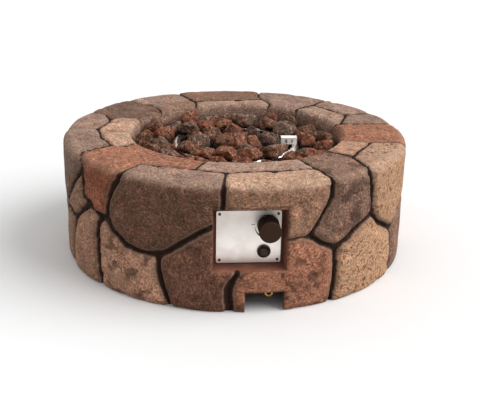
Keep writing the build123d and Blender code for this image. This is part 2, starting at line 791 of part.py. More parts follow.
rod_end = around(guard_angle, electrode_radius, rod_foot)
probe_end = around(guard_angle, probe_radius, probe_foot)
terminal_end = igniter_back + terminal_length
with BuildPart() as spark_lead:
    with BuildLine() as spark_path:
        FilletPolyline(
            (igniter_offset, terminal_end, igniter_level),
            (igniter_offset, terminal_end + 2 * lead_bend, igniter_level),
            (
                (igniter_offset + bracket_spark_x) / 2,
                (terminal_end + bracket_y) / 2,
                (igniter_level + lead_low) / 2,
            ),
            (bracket_spark_x, bracket_y, lead_low),
            (rod_end.X, rod_end.Y, lead_low),
            rod_end,
            radius=lead_bend,
        )
    with BuildSketch(Plane((igniter_offset, terminal_end, igniter_level), x_dir=(1, 0, 0), z_dir=(0, 1, 0))):
        Circle(spark_lead_diameter / 2)
    sweep(path=spark_path.line)
save(spark_lead, "spark_lead")

sense_start = Vector(knob_offset + valve_block[0] / 2, -inlet_back - valve_boss_diameter / 2, knob_level)
with BuildPart() as thermocouple_lead:
    with BuildLine() as sense_path:
        FilletPolyline(
            sense_start,
            sense_start + Vector(2 * lead_bend, 0, 0),
            (bracket_sense_x, (sense_start.Y + bracket_y) / 2, (knob_level + bracket_sense_level) / 2),
            (bracket_sense_x, bracket_y, bracket_sense_level),
            (probe_end.X, probe_end.Y, lead_low),
            probe_end,
            radius=lead_bend,
        )
    with BuildSketch(Plane(sense_start, x_dir=(0, 1, 0), z_dir=(1, 0, 0))):
        Circle(sense_lead_diameter / 2)
    sweep(path=sense_path.line)
save(thermocouple_lead, "thermocouple_lead")

with BuildPart() as lead_bracket:
    bracket_centre = (bracket_spark_x + bracket_sense_x) / 2
    bracket_width = bracket_sense_x - bracket_spark_x + 2 * bracket_margin
    bracket_drop = pan_underside - lead_low + bracket_margin
    bracket_middle = pan_underside - bracket_drop / 2
    with BuildSketch(front_plane(bracket_centre, bracket_middle, bracket_y + bracket_sheet / 2)):
        Rectangle(bracket_width, bracket_drop)
    extrude(amount=bracket_sheet)
    with BuildSketch(Plane.XY.offset(pan_underside)):
        with Locations((bracket_centre, bracket_y + bracket_foot / 2)):
            Rectangle(bracket_width, bracket_foot)
    extrude(amount=-bracket_sheet)
    with BuildSketch(front_plane(0, 0, bracket_y + bracket_sheet)):
        with Locations((bracket_spark_x, lead_low)):
            Circle(spark_lead_diameter / 2 + lead_clearance)
        with Locations((bracket_sense_x, bracket_sense_level)):
            Circle(sense_lead_diameter / 2 + lead_clearance)
    extrude(amount=2 * bracket_sheet, mode=Mode.SUBTRACT)
save(lead_bracket, "lead_bracket")

# Slotted guard, notched over the ring
with BuildPart() as igniter_guard:
    with BuildSketch(facing(guard_angle, guard_inner, guard_foot)):
        with Locations((0, guard_height / 2)):
            Rectangle(guard_width, guard_height)
        with Locations((0, (guard_height - guard_sheet) / 2)):
            Rectangle(guard_width - 2 * guard_sheet, guard_height - guard_sheet, mode=Mode.SUBTRACT)
    extrude(amount=guard_outer - guard_inner)
    slot_middle = around(guard_angle, (guard_inner + guard_outer) / 2, guard_foot + guard_height / 2)
    with BuildSketch(Plane(slot_middle, x_dir=around(guard_angle, 1), z_dir=around(guard_angle - 90, 1))):
        with GridLocations(guard_slot_spacing, 0, 2, 1):
            Rectangle(*guard_slot)
    extrude(amount=guard_width, mode=Mode.SUBTRACT)
    add(ring_envelope.part, mode=Mode.SUBTRACT)
save(igniter_guard, "igniter_guard")


# Lava rocks: loose faceted stones that fill the pan, each cut back from its neighbours
scatter = random.Random(11)


def rock_seeds(low, high, level, start=0.0):
    """Middles of rocks in rings between two radii, about a rock apart, each scattered a little."""
    rows = max(1, round((high - low) / rock_pitch))
    step = (high - low) / rows
    seeds = []
    for row in range(rows):
        radius = low + step * (row + 0.5)
        count = round(2 * math.pi * radius / rock_pitch)
        for number in range(count):
            angle = start + 360 * (number + row / 2) / count
            shift = Vector(*(scatter.uniform(-rock_scatter, rock_scatter) for axis in range(3)))
            seeds.append((angle, around(angle, radius, level) + shift))
    return seeds


def sunk(group):
    """The same rocks, lower where the bed dips: beside the guard, and where the ring shows at the left."""
    lowered = []
    for angle, seed in group:
        fall = 0.0
        for dip_angle, radius, reach, depth in dips:
            away = (around(dip_angle, radius, seed.Z) - seed).length
            fall += depth * max(0.0, 1 - (away / reach) ** 2)
        lowered.append((angle, seed - Vector(0, 0, fall)))
    return lowered


def chord(radius):
    """How far out a flat face may lie for its corners to stay inside a radius."""
    return math.sqrt(radius**2 - (0.75 * rock_pitch) ** 2)


def guard_nearest(seed):
    """The point of the guard's keep-out box that is nearest to a rock's middle."""
    out, across = around(guard_angle, 1), around(guard_angle + 90, 1)
    half = guard_width / 2 + rock_gap
    radial = min(max(seed.dot(out), guard_inner - rock_gap), guard_outer + rock_gap)
    sideways = min(max(seed.dot(across), -half), half)
    level = min(max(seed.Z, pan_floor), guard_foot + guard_height + rock_gap)
    return out * radial + across * sideways + Vector(0, 0, level)


def facet_cuts(seed, reach, lowest, squat):
    """Flat faces around a rock, spread evenly over the sphere, at uneven distances, nearer above and below."""
    cuts = []
    for number in range(rock_facets):
        rise = 1 - 2 * (number + 0.5) / rock_facets
        turn = number * math.pi * (3 - math.sqrt(5)) + scatter.uniform(0, 2)
        flat = math.sqrt(1 - rise**2)
        outward = Vector(flat * math.cos(turn), flat * math.sin(turn), rise)
        distance = rock_pitch * scatter.uniform(*reach) * (1 - squat * abs(rise))
        if rise > lowest:
            cuts.append((seed + outward * distance, outward))
    return cuts


def carve_rock(seed, seeds, cuts):
    """One rock: a block cut back from its neighbours' middles and by its own faces."""
    for other in seeds:
        run = other - seed
        if 0 < run.length < 2.2 * rock_pitch:
            outward = run.normalized()
            cuts = cuts + [(seed + outward * (run.length - rock_gap) / 2, outward)]
    with BuildPart() as rock:
        with Locations(seed):
            Box(2 * rock_pitch, 2 * rock_pitch, 2 * rock_pitch)
        for point, outward in cuts:
            if max((corner.center() - point).dot(outward) for corner in rock.vertices()) > 0.01:
                split(bisect_by=Plane(point, z_dir=outward), keep=Keep.BOTTOM)
    return rock.part


bowl_reach = chord(mouth_radius - sheet - rock_rest - 1.0)
ring_inside = ring_radius - ring_tube / 2
ring_outside = ring_radius + ring_tube / 2
inner_seeds = sunk(rock_seeds(0, ring_inside, pan_floor + rock_seat))
outer_seeds = sunk(rock_seeds(ring_outside, mouth_radius - sheet, pan_floor + rock_seat))
cap_low, cap_high = ring_radius - rock_pitch / 2, ring_radius + rock_pitch / 2
cap_seeds = rock_seeds(cap_low, cap_high, ring_top + cap_seat, cap_start)
cap_seeds = [
    (angle, seed) for angle, seed in cap_seeds if not any(low < angle < high for low, high in cap_skips)
]
rock_groups = {
    "lava_rocks_inner": inner_seeds,
    "lava_rocks_outer": outer_seeds,
    "lava_rocks_upper": cap_seeds,
}
every_seed = [seed for group in rock_groups.values() for angle, seed in group]
for name, group in rock_groups.items():
    rocks = []
    for angle, seed in group:
        away = Vector(seed.X, seed.Y, 0).normalized()
        guard_point = guard_nearest(seed)
        guard_run = guard_point - seed
        if guard_run.length < rock_pitch / 5:
            continue
        upper = name == "lava_rocks_upper"
        rest = (ring_top if upper else pan_floor) + rock_rest
        cuts = [(Vector(0, 0, rest), Vector(0, 0, -1)), (away * bowl_reach, away)]
        cuts.append((guard_point, guard_run.normalized()))
        cuts.append((Vector(0, 0, height - cap_headroom), Vector(0, 0, 1)))
        if name == "lava_rocks_inner":
            cuts.append((away * chord(ring_inside - rock_rest), away))
        if name == "lava_rocks_outer":
            cuts.append((away * (ring_outside + rock_rest), away * -1))
        if upper:
            cuts += facet_cuts(seed, cap_reach, -0.9, cap_squat)
        else:
            cuts += facet_cuts(seed, rock_reach, -0.25, 0)
        rocks.append(carve_rock(seed, every_seed, cuts))
    with BuildPart() as rock_bed:
        add(rocks)
    save(rock_bed, name)
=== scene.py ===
"""Looks of a round gas fire pit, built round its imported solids.

The cast stone surround and the lava rocks are surfaces worked out here. Every other piece keeps its
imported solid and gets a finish. Lengths in this file are millimetres, and meshes are in metres.
Angles on the surround run from the front (-Y) towards +X, in degrees.
"""

import itertools
import json
import math

import bpy
import numpy as np
from mathutils import Matrix, Vector


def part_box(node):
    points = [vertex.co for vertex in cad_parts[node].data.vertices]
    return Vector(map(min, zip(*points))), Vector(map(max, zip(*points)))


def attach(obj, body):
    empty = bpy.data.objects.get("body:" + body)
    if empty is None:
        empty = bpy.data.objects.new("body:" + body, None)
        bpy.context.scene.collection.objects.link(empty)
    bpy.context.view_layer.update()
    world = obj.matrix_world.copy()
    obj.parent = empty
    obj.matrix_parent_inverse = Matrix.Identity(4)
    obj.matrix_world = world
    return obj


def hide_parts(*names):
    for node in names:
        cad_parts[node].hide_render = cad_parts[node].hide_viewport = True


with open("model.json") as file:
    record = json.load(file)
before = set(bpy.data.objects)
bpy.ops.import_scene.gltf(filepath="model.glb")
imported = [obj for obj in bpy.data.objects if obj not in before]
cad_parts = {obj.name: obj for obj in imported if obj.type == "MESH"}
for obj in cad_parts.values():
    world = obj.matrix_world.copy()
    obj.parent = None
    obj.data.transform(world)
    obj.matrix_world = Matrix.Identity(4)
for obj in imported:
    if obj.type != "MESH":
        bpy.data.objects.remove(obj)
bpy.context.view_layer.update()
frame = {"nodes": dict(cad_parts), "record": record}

bl_info = {
    "name": "Stone fire pit",
    "version": (1, 0, 0),
    "blender": (4, 5, 0),
    "location": "View3D > Sidebar > Fire pit",
    "description": "Cast stone surround, lava rocks and finishes for a gas fire pit",
    "category": "Add Mesh",
}

MM = 0.001

# Surround, as in the solids
OUTER = 355.5
HEIGHT = 250.0
MOUTH = 215.0
INNER_WALL = 335.5
LIP_OUTSIDE = 233.0
LIP_FOOT = 190.0
DECK_UNDERSIDE = 228.0
OUTER_ROUND = 20.0
INNER_ROUND = 14.0
WALL_TOP = HEIGHT - OUTER_ROUND
BRINK_LEVEL = HEIGHT - INNER_ROUND
DECK_EDGE = OUTER - OUTER_ROUND
DECK_INSIDE = MOUTH + INNER_ROUND
DECK_START = WALL_TOP + OUTER_ROUND * math.pi / 2
DECK_END = DECK_START + DECK_EDGE - DECK_INSIDE
LIP_START = DECK_END + INNER_ROUND * math.pi / 2

# Recess, the box cast behind it, the window behind the panel, and the hose notch: x, z and y limits
RECESS_MOUTH = (-69.5, 69.5, 80.0, 203.0, -361.5)
RECESS_FLOOR = (-64.0, 64.0, 81.5, 190.0, -312.0)
POCKET_FRONT = (-68.0, 68.0, 66.0, 217.0, -337.5)
POCKET_BACK = (-83.5, 83.5, 66.0, 217.0, -300.0)
WINDOW = (12.0, 57.0, 94.0, 176.0, -318.0, -294.0)
NOTCH = (-8.0, 65.0, -10.0, 38.0, -370.0, -300.0)
# The wall stays this far in front of the box, within so many degrees of the front
POCKET_CLEAR = 1.0
POCKET_TURN = 13.0
# Edge of the recess where it meets the wall, and the rounds that lead into the recess and the notch
RIM_AT_SURFACE = 68.8
RECESS_RIM = (-RIM_AT_SURFACE, RIM_AT_SURFACE, *RECESS_MOUTH[2:4])
RECESS_ROUND = 4.5
NOTCH_ROUND = 6.0
# Along y, where the painted shade deep in the recess starts and where it is full
RECESS_WASH = (-345.0, -318.0)

# Rows and columns of the surround's mesh, with more by the foot and, at these distances, beside the openings
WALL_ROWS = 60
EDGE_ROWS = 9
DECK_ROWS = 31
BRINK_ROWS = 6
INSIDE_ROWS = 11
COLUMNS = 510
FOOT_LEVELS = (1.2, 2.6, 5.6, 10.0)
ROWS_BESIDE = (-6.0, -4.2, -2.8, -1.6, -0.6, 0.6)
COLUMNS_BESIDE = (-6.0, -4.4, -3.0, -1.8, -0.8)
# Rows on the hidden side: a radius half way under the deck, and levels behind the wall
HIDDEN_DECK_MIDDLE = 284.0
HIDDEN_LEVELS = (170.0, 110.0, 50.0, 0.0)
# Faces that meet at more degrees than this show a sharp edge
SHARP_EDGE = 50.0

# Waver of the joints and relief of the stone faces. Lumps are given as share, size and seed, and hollows also
# with the two heights of the lumps between which a hollow's side runs
WAVERS = ((5.0, 38.0, 0), (2.0, 13.0, 5))
SPLIT_LUMPS = ((0.6, 34.0, 11), (0.4, 14.0, 12))
SCARS = ((1.0, 23.0, 17, 0.74, 0.82), (0.7, 13.0, 18, 0.78, 0.86))
# Where a groove's sides start and end, as shares of the joint's half width
GROOVE_SIDES = (0.1, 1.1)
# What a groove and a crown lose on the deck, and a joint's width inside the mouth
DECK_GROOVE_LOSS = 0.5
DECK_CROWN_LOSS = 0.55
MOUTH_WIDTH_LOSS = 0.8
# How far from a joint a face has gained two thirds of its crown
CROWN_REACH = 14.0
# The most that one stone is set back from another
SETBACK = 1.6
# Height of the round at the foot, its least depth, and the lumps that deepen it
FOOT_ROUND = 16.0
FOOT_DEPTH = 4.0
FOOT_LUMPS = ((8.0, 42.0, 13),)
# Along the section, where the joints start to run out and where they have run out
JOINTS_RUN_OUT = (DECK_END + 4.0, LIP_START + 6.0)
# Stands for a distance that is out of reach
FAR_AWAY = 1000.0

# Along the section, where the wall's stain gives way to the deck's, and that edge's lumps
STAIN_EDGE = (WALL_TOP + 5.0, WALL_TOP + 12.0)
RAGGED_EDGE = (14.0, 9.0, 61)
# The darkest stone's shade, and how much lighter the lightest one is
DARKEST_SHADE = 0.9
SHADE_SPREAD = 0.2
# How much bare concrete shows through inside the mouth
BARE_SHARE = 0.8
# How far from the middle of the outer edge the painted highlight reaches
WEAR_REACH = 14.0
# Along the section, where the darkening down inside the mouth starts and where it is full
SOOT_RANGE = (LIP_START - 6.0, LIP_START + 40.0)
# How far the grain leans from stone to stone, in radians, and how far apart the stones' patterns lie
GRAIN_LEAN = 2.4
GRAIN_APART = 400.0
# The seam value of what lies far from any joint
SEAM_MOST = 10.0
# Seeds for what differs from stone to stone, and from rock to rock
SETBACK_SEED = 7
SHADE_SEED = 21
LEAN_SEED = 31
TONE_SEED = 51

# Controls, and the dial marks round the knob: degrees, and distances from the knob's axis
PANEL_FRONT = -313.5
KNOB_AXIS = (34.5, 158.6)
KNOB_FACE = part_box("control_knob")[0][1] / MM
INK_LIFT = 0.06
ARC_TURN = (205.0, 258.0)
ARC_INSIDE = 24.0
ARC_WIDTH = (3.6, 0.5)
ARC_STEPS = 24
TICK_TURN = (269.0, 271.5)
TICK_REACH = (23.5, 30.0)

# Lava rocks: half their usual size, rings and columns of one rock, its lumps and pits, and how far the lumps
# stand proud
ROCK_HALF = 24.0
ROCK_RINGS = 32
ROCK_COLUMNS = 62
ROCK_LUMPS = ((1.0, 19.0, 41), (0.45, 8.0, 42))
ROCK_PITS = ((1.0, 7.5, 43, 0.60, 0.78), (0.6, 4.6, 44, 0.60, 0.75))
LUMPS_PROUD = 0.45
# How deep below a rock's top the painted shade on its lower part starts and where it is full
CHAR_RANGE = (8.0, 34.0)

# Camera fitted to the photograph, lamps as the width of their light in degrees and the way that it comes
# from, and half the floor's side
CAMERA_PLACE = (-156.4, -1824.5, 764.76)
CAMERA_TARGET = (33.41, -3.48, 70.67)
CAMERA_ROLL = 1.388
CAMERA_LENS = 65.43
CAMERA_SENSOR = 36.0
SIDE_LIGHT = (55.0, (2.2, -0.55, 1.75))
TOP_LIGHT = (110.0, (0.1, 0.25, 3.0))
FLOOR_HALF = 30000.0

# Joint lines between the stones: angle and height on the wall, angle and distance in from the edge on the
# deck. Lines that leave the wall or the deck run on a little past its ends
FOOT = -6.0
HEAD = HEIGHT + 6.0
EDGE = -6.0
BRINK = OUTER - MOUTH + 6.0
DECK_JOINTS = [
    [(-8, EDGE), (-8, 75)],
    [(-21, 80), (-8, 75), (13.5, 80), (26.3, 66)],
    [(-21, 80), (-18.8, BRINK)],
    [(25, EDGE), (26.3, 66), (27.5, BRINK)],
    [(-41.5, EDGE), (-41.5, 60), (-21, 80)],
    [(39.5, EDGE), (48, 74), (47.7, BRINK)],
    [(48, 74), (70.8, 73)],
    [(73.3, EDGE), (70.8, 73), (70.4, BRINK)],
    [(97.6, EDGE), (99.8, 78), (101.6, 120), (101.4, BRINK)],
    [(113.8, EDGE), (115, 72), (101.6, 120)],
    [(115, 72), (125, 74), (136.8, 69)],
    [(137, EDGE), (136.8, 69), (138.8, 120), (136.4, BRINK)],
    [(166.4, EDGE), (164.8, 58), (156.3, 115), (154.8, BRINK)],
    [(199.5, EDGE), (197, 101), (200.6, BRINK)],
    [(222.6, EDGE), (220.1, 59), (221, 111), (226.5, BRINK)],
    [(220.1, 59), (216, 84), (197.3, 90)],
    [(197, 98), (180.6, 99), (162.2, 75)],
    [(242.6, EDGE), (244.7, 51), (250.8, 78), (245.8, 98), (244.7, BRINK)],
    [(250.8, 78), (254.6, 82), (267, 68), (280.4, 79), (292.4, 86)],
    [(266.7, EDGE), (267, 68)],
    [(298, EDGE), (294.2, 33), (292.4, 86), (294.2, BRINK)],
]
FRONT_WALL_JOINTS = [
    [(-8, HEAD), (-8, 190)],
    [(-41.5, HEAD), (-42.6, 230), (-45, 205), (-46.8, 180), (-47.4, 158), (-47.4, 143)],
    [(-60.6, 218), (-60.3, 200), (-61, 166), (-56.5, 157)],
    [(-56.5, 157), (-54.5, 145), (-50.5, 141), (-47.4, 143)],
    [(-60.6, 218), (-72, 160), (-81, 112)],
    [(-56.5, 157), (-67.4, 107), (-69.7, 78), (-72, FOOT)],
    [(-67.4, 107), (-81, 112), (-88, 60), (-89, FOOT)],
    [(-50.5, 141), (-52, 125), (-52.6, 86), (-52.2, 47), (-51.3, FOOT)],
    [(-47.4, 143), (-44.8, 124), (-39.6, 104), (-33.5, 97.5), (-28, 101)],
    [(-28, 101), (-24.5, 112), (-18, 140), (-10, 170)],
    [(-28, 101), (-27.9, 69), (-26.3, 42), (-24.2, FOOT)],
    [(-3.8, 86), (-4.3, 74), (-5.2, 63), (-5.7, 49), (-5.7, FOOT)],
    [(-5.9, 58), (-6.5, 46), (-6.5, FOOT)],
    [(25.5, HEAD), (25, 207), (21.2, 166), (18.4, 143), (22.3, 125), (28, 108)],
    [(39.5, HEAD), (41.5, 222), (43.2, 183), (43, 156), (38.6, 144), (33.1, 126), (28, 108)],
    [(28, 108), (28, 74), (27.6, 43), (26.3, FOOT)],
    [(43, 156), (47.4, 130), (53.5, 110), (57.3, 97)],
    [(57.3, 97), (58.6, 48), (58, FOOT)],
]
# Pressed in more lightly than the rest
FAINT_WALL_JOINTS = [[(18.4, 143), (9, 140)], [(-62, HEAD), (-60.6, 218)]]
FAINTER_BY = 4.0
# How far joints that meet round off the stones' corners
CORNER_ROUND = 3.2
# How near to a joint's middle a stone's stain spreads before the joints are shared out
STONE_EDGE = 8.0
# Behind, low corners have a joint down to the ground and high corners one up to the edge
BACK_COURSE = [
    (57.3, 97), (73.3, 148), (85, 98), (97.6, 142), (107, 104), (113.8, 152), (126, 100), (137, 146),
    (152, 96), (166.4, 144), (182, 104), (199.5, 150), (210, 98), (222.6, 146), (233, 102), (242.6, 150),
    (255, 100), (266.7, 148), (279, 112),
]

# Stains brushed on the stones
STAINS = {
    "wheat": "#d7a487",
    "buff": "#ca9e7b",
    "terra": "#c29378",
    "sand": "#bf9a80",
    "clay": "#b68d73",
    "oak": "#a87f66",
    "tan": "#a88977",
    "fawn": "#9a7d6d",
    "umber": "#8b6b5a",
    "walnut": "#7c5946",
    "russet": "#846350",
    "mahogany": "#835b48",
    "slate": "#6e5546",
    "brick": "#9d654d",
    "fired": "#a6654a",
    "rust": "#ae765c",
}
# One line a stone: its name, a place on it (angle, distance along the section from the foot), and its
# stains on the deck and on the wall
STONES = [
    ("front left", -27, 170, "fawn", "walnut"),
    ("front middle", 8, 225, "sand", "oak"),
    ("front right", 33, 180, "umber", "umber"),
    ("right shoulder", 55, 185, "sand", "buff"),
    ("right foot", 42, 80, "clay", "buff"),
    ("under the panel", 12, 60, "rust", "rust"),
    ("left of the panel", -15, 95, "walnut", "mahogany"),
    ("left foot", -38, 60, "clay", "wheat"),
    ("left foot second", -60, 60, "clay", "terra"),
    ("left red", -52, 190, "brick", "fired"),
    ("left wedge", -66, 165, "fawn", "clay"),
    ("left foot third", -78, 60, "fawn", "clay"),
    ("front inside", 4, 365, "tan", "tan"),
    ("right inside", 58, 365, "clay", "clay"),
    ("right red", 85, 325, "brick", "brick"),
    ("right back", 106, 305, "fawn", "fawn"),
    ("right back inside", 118, 365, "tan", "tan"),
    ("back right", 126, 300, "fawn", "clay"),
    ("back right second", 150, 315, "fawn", "umber"),
    ("back", 180, 310, "russet", "walnut"),
    ("back inside", 180, 354, "tan", "tan"),
    ("back left", 210, 295, "fawn", "clay"),
    ("back left inside", 208, 370, "umber", "fawn"),
    ("back left second", 232, 325, "slate", "walnut"),
    ("left back", 255, 300, "fawn", "clay"),
    ("left", 280, 295, "fawn", "fawn"),
    ("left inside", 270, 365, "sand", "sand"),
    ("right foot second", 70, 55, "umber", "umber"),
    ("right foot third", 96, 50, "sand", "sand"),
    ("right foot fourth", 116, 50, "brick", "brick"),
    ("back foot first", 139, 50, "clay", "clay"),
    ("back foot second", 167, 50, "fawn", "fawn"),
    ("back foot third", 196, 50, "rust", "rust"),
    ("back foot fourth", 221, 50, "sand", "sand"),
    ("back foot fifth", 244, 50, "umber", "umber"),
    ("left foot fourth", 263, 50, "clay", "clay"),
]
# Stones with small red flecks, and stones with dark patches
FLECKED = ("right shoulder", "right foot")
PATCHED = ("under the panel", "left of the panel", "left foot", "front right")
# Red stones that got a second, tan coat dabbed over the top
DABBED = ("left red", "right red")

# Node settings that several materials share
SOFT = {"interpolation_type": "SMOOTHSTEP"}
COVER = {"data_type": "RGBA"}
MULTIPLY = {"data_type": "RGBA", "blend_type": "MULTIPLY"}
CONCRETE = {"Roughness": 0.88, "Specular IOR Level": 0.3}


def linear(code):
    """An sRGB hex colour as linear red, green, blue and alpha."""
    channels = [int(code[start : start + 2], 16) / 255 for start in (1, 3, 5)]
    bent = [value / 12.92 if value <= 0.04045 else ((value + 0.055) / 1.055) ** 2.4 for value in channels]
    return (*bent, 1.0)


def smooth(low, high, value):
    """0 below low, 1 above high, and an S-shaped rise between them."""
    share = np.clip((value - low) / (high - low), 0.0, 1.0)
    return share * share * (3.0 - 2.0 * share)


def scattered(cells, seed):
    """A number from 0 to 1 for each whole-number cell, the same each time for one cell and seed."""
    x, y, z = (cells[..., axis].astype(np.int64) for axis in range(3))
    mixed = (x * 73856093) ^ (y * 19349663) ^ (z * 83492791) ^ (seed * 982451653)
    mixed = ((mixed ^ (mixed >> 13)) * 1274126177) & 0x7FFFFFFF
    return ((mixed ^ (mixed >> 15)) & 0xFFFF) / 65535.0


def lumps(points, size, seed):
    """Value noise from 0 to 1: random numbers on a lattice of that size, blended with S-shaped weights."""
    cells = points / size
    base = np.floor(cells)
    weight = smooth(0.0, 1.0, cells - base)
    total = np.zeros(points.shape[:-1])
    for corner in itertools.product((0, 1), repeat=3):
        share = np.prod(np.where(corner, weight, 1.0 - weight), axis=-1)
        total += share * scattered(base + corner, seed)
    return total


def mixed_lumps(points, table):
    """Lumps of several sizes added up, each times its share."""
    return sum(share * lumps(points, size, seed) for share, size, seed in table)


def hollows(points, table):
    """Hollows of several sizes added up: 0 to 1 as lumps rise from low to high, each times its share."""
    return sum(share * smooth(low, high, lumps(points, size, seed)) for share, size, seed, low, high in table)


def per_number(numbers, seed):
    """A number from 0 to 1 for each stone's or rock's number."""
    return scattered(np.stack([numbers] * 3, -1), seed)


def on_surround(angle, radius, level):
    """The point at an angle, a distance from the axis and a height."""
    turn = np.radians(angle)
    return np.stack([radius * np.sin(turn), -radius * np.cos(turn), level], -1)


def segment_distance(along, up, start, end):
    """Distance in a plane from each point to one straight stretch."""
    run = (end[0] - start[0], end[1] - start[1])
    share = ((along - start[0]) * run[0] + (up - start[1]) * run[1]) / (run[0] ** 2 + run[1] ** 2)
    share = np.clip(share, 0.0, 1.0)
    return np.hypot(along - start[0] - share * run[0], up - start[1] - share * run[1])


def wrapped(angle):
    """An angle in degrees brought to within half a turn of 0."""
    return (angle + 180.0) % 360.0 - 180.0


def wall_lines():
    """Every joint line on the outer wall."""
    lines = FRONT_WALL_JOINTS + [BACK_COURSE]
    for number, (angle, level) in enumerate(BACK_COURSE[1:-1]):
        lines = lines + [[(angle, level), (angle, HEAD if number % 2 == 0 else FOOT)]]
    return lines


def wall_distance(line, angle, level):
    """Distance on the unrolled wall to a line of angles and heights."""
    nearest = np.full(np.shape(angle), FAR_AWAY)
    for start, end in zip(line, line[1:]):
        ends = [(0.0, start[1]), (math.radians(end[0] - start[0]) * OUTER, end[1])]
        along = np.radians(wrapped(angle - start[0])) * OUTER
        nearest = np.minimum(nearest, segment_distance(along, level, *ends))
    return nearest


def deck_distance(line, x, y):
    """Distance in plan to a line of angles and distances in from the edge."""
    turns = [(math.radians(angle), OUTER - inward) for angle, inward in line]
    points = [(far * math.sin(turn), -far * math.cos(turn)) for turn, far in turns]
    return np.minimum.reduce([segment_distance(x, y, *pair) for pair in zip(points, points[1:])])


def joint_distance(angle, radius, level, run):
    """Distance to the joints: on the unrolled wall below the deck, and in plan on the deck and inside the
    mouth. Lines that meet are joined as the log of a sum of exponentials, which rounds off the corners
    between them. Round the edge the wall's joints fade into the deck's. The lines waver."""
    place = on_surround(angle, radius, level)
    waver = [
        sum(reach * (lumps(place, size, seed + step) - 0.5) for reach, size, step in WAVERS)
        for seed in (1, 2, 3)
    ]
    turned = angle + np.degrees(waver[0] / OUTER)
    raised = level + waver[2]
    x = place[..., 0] + waver[0]
    y = place[..., 1] + waver[1]
    wall = np.zeros(np.shape(angle))
    for lines, extra in ((wall_lines(), 0.0), (FAINT_WALL_JOINTS, FAINTER_BY)):
        for line in lines:
            wall += np.exp(-(wall_distance(line, turned, raised) + extra) / CORNER_ROUND)
    deck = np.zeros(np.shape(angle))
    for line in DECK_JOINTS:
        deck += np.exp(-deck_distance(line, x, y) / CORNER_ROUND)
    over = smooth(WALL_TOP, DECK_START, run)
    nearest = wall * (1.0 - over) + deck * over
    return -CORNER_ROUND * np.log(np.maximum(nearest, 1e-9))


def section_run(radius, level):
    """Distance along the surround's section from its foot: up the wall, round the edge, in over the deck,
    round the brink and down inside the mouth."""
    edge = WALL_TOP + OUTER_ROUND * np.arctan2(level - WALL_TOP, np.maximum(radius - DECK_EDGE, 1e-6))
    over = DECK_START + DECK_EDGE - radius
    brink_turn = np.arctan2(DECK_INSIDE - radius, np.maximum(level - BRINK_LEVEL, 1e-6))
    brink = DECK_END + INNER_ROUND * brink_turn
    down = LIP_START + BRINK_LEVEL - level
    run = np.where(radius > DECK_EDGE, np.where(level > WALL_TOP, edge, level), over)
    inside = np.where(level > BRINK_LEVEL, brink, down)
    return np.where(radius < DECK_INSIDE, inside, run)


def past_brink(run):
    """0 on the deck and 1 inside the mouth, where the joints have run out."""
    return smooth(*JOINTS_RUN_OUT, run)


def joint_reach(settings, run):
    """Half the width of a joint: wide on the wall, narrow on the deck, and running out inside the mouth."""
    over = smooth(WALL_TOP, DECK_START, run)
    wide = settings.joint_half_width * (1.0 - over) + settings.deck_joint_half_width * over
    return wide / MM * (1.0 - MOUTH_WIDTH_LOSS * past_brink(run))


def steps_after(start, end, count):
    """Evenly spaced values from start to end, without the start."""
    return np.linspace(start, end, count + 1)[1:]


def section_strip(radius, level, out, up):
    """Rows of a section: radius, level, and how far the face looks out and up."""
    return np.stack(np.broadcast_arrays(radius, level, out, up), 1)


def section_round(middle, level, size, out, up):
    """Rows of a round of that size about a middle, one for each direction."""
    return section_strip(middle + size * out, level + size * up, out, up)


def section_rows():
    """The surround's section as rows of radius, level and outward direction, in one closed loop. The last
    rows are the hidden side: under the lip, under the deck and down behind the wall."""
    beside = np.array(ROWS_BESIDE)
    even = np.linspace(0.0, WALL_TOP, WALL_ROWS)
    close = [FOOT_LEVELS, RECESS_RIM[2] + beside, RECESS_RIM[3] - beside, NOTCH[3] - beside]
    levels = np.unique(np.round(np.concatenate([even, *close]), 1))
    edge = steps_after(0.0, math.pi / 2, EDGE_ROWS)
    brink = steps_after(0.0, math.pi / 2, BRINK_ROWS)
    shown = np.concatenate([
        section_strip(OUTER, levels, 1.0, 0.0),
        section_round(DECK_EDGE, WALL_TOP, OUTER_ROUND, np.cos(edge), np.sin(edge)),
        section_strip(steps_after(DECK_EDGE, DECK_INSIDE, DECK_ROWS), HEIGHT, 0.0, 1.0),
        section_round(DECK_INSIDE, BRINK_LEVEL, INNER_ROUND, -np.sin(brink), np.cos(brink)),
        section_strip(MOUTH, steps_after(BRINK_LEVEL, LIP_FOOT, INSIDE_ROWS), -1.0, 0.0),
    ])
    hidden = [(LIP_OUTSIDE, LIP_FOOT)]
    hidden += [(radius, DECK_UNDERSIDE) for radius in (LIP_OUTSIDE, HIDDEN_DECK_MIDDLE, INNER_WALL)]
    hidden += [(INNER_WALL, level) for level in HIDDEN_LEVELS]
    back = np.array([(radius, level, 0.0, 0.0) for radius, level in hidden])
    return np.concatenate([shown, back]), len(shown)


def section_angles():
    """Angles of the surround's columns, closer together beside the recess and the notch."""
    beside = np.array(COLUMNS_BESIDE)
    cuts = [RECESS_RIM[1] - beside, RECESS_RIM[0] + beside, NOTCH[0] + beside, NOTCH[1] - beside]
    close = np.degrees(np.arcsin(np.concatenate(cuts) / OUTER))
    even = np.arange(-180.0, 180.0, 360.0 / COLUMNS)
    return np.unique(np.round(np.concatenate([even, close]), 2))


def rim_depth(across, level, opening, radius):
    """How far the wall bends in towards an opening's edge, as a quarter round of that radius."""
    left, right, low, high = opening
    beside = np.maximum(np.maximum(left - across, across - right), 0.0)
    beyond = np.maximum(np.maximum(low - level, level - high), 0.0)
    share = np.clip(1.0 - np.hypot(beside, beyond) / radius, 0.0, 1.0)
    return radius * (1.0 - np.sqrt(1.0 - share**2))


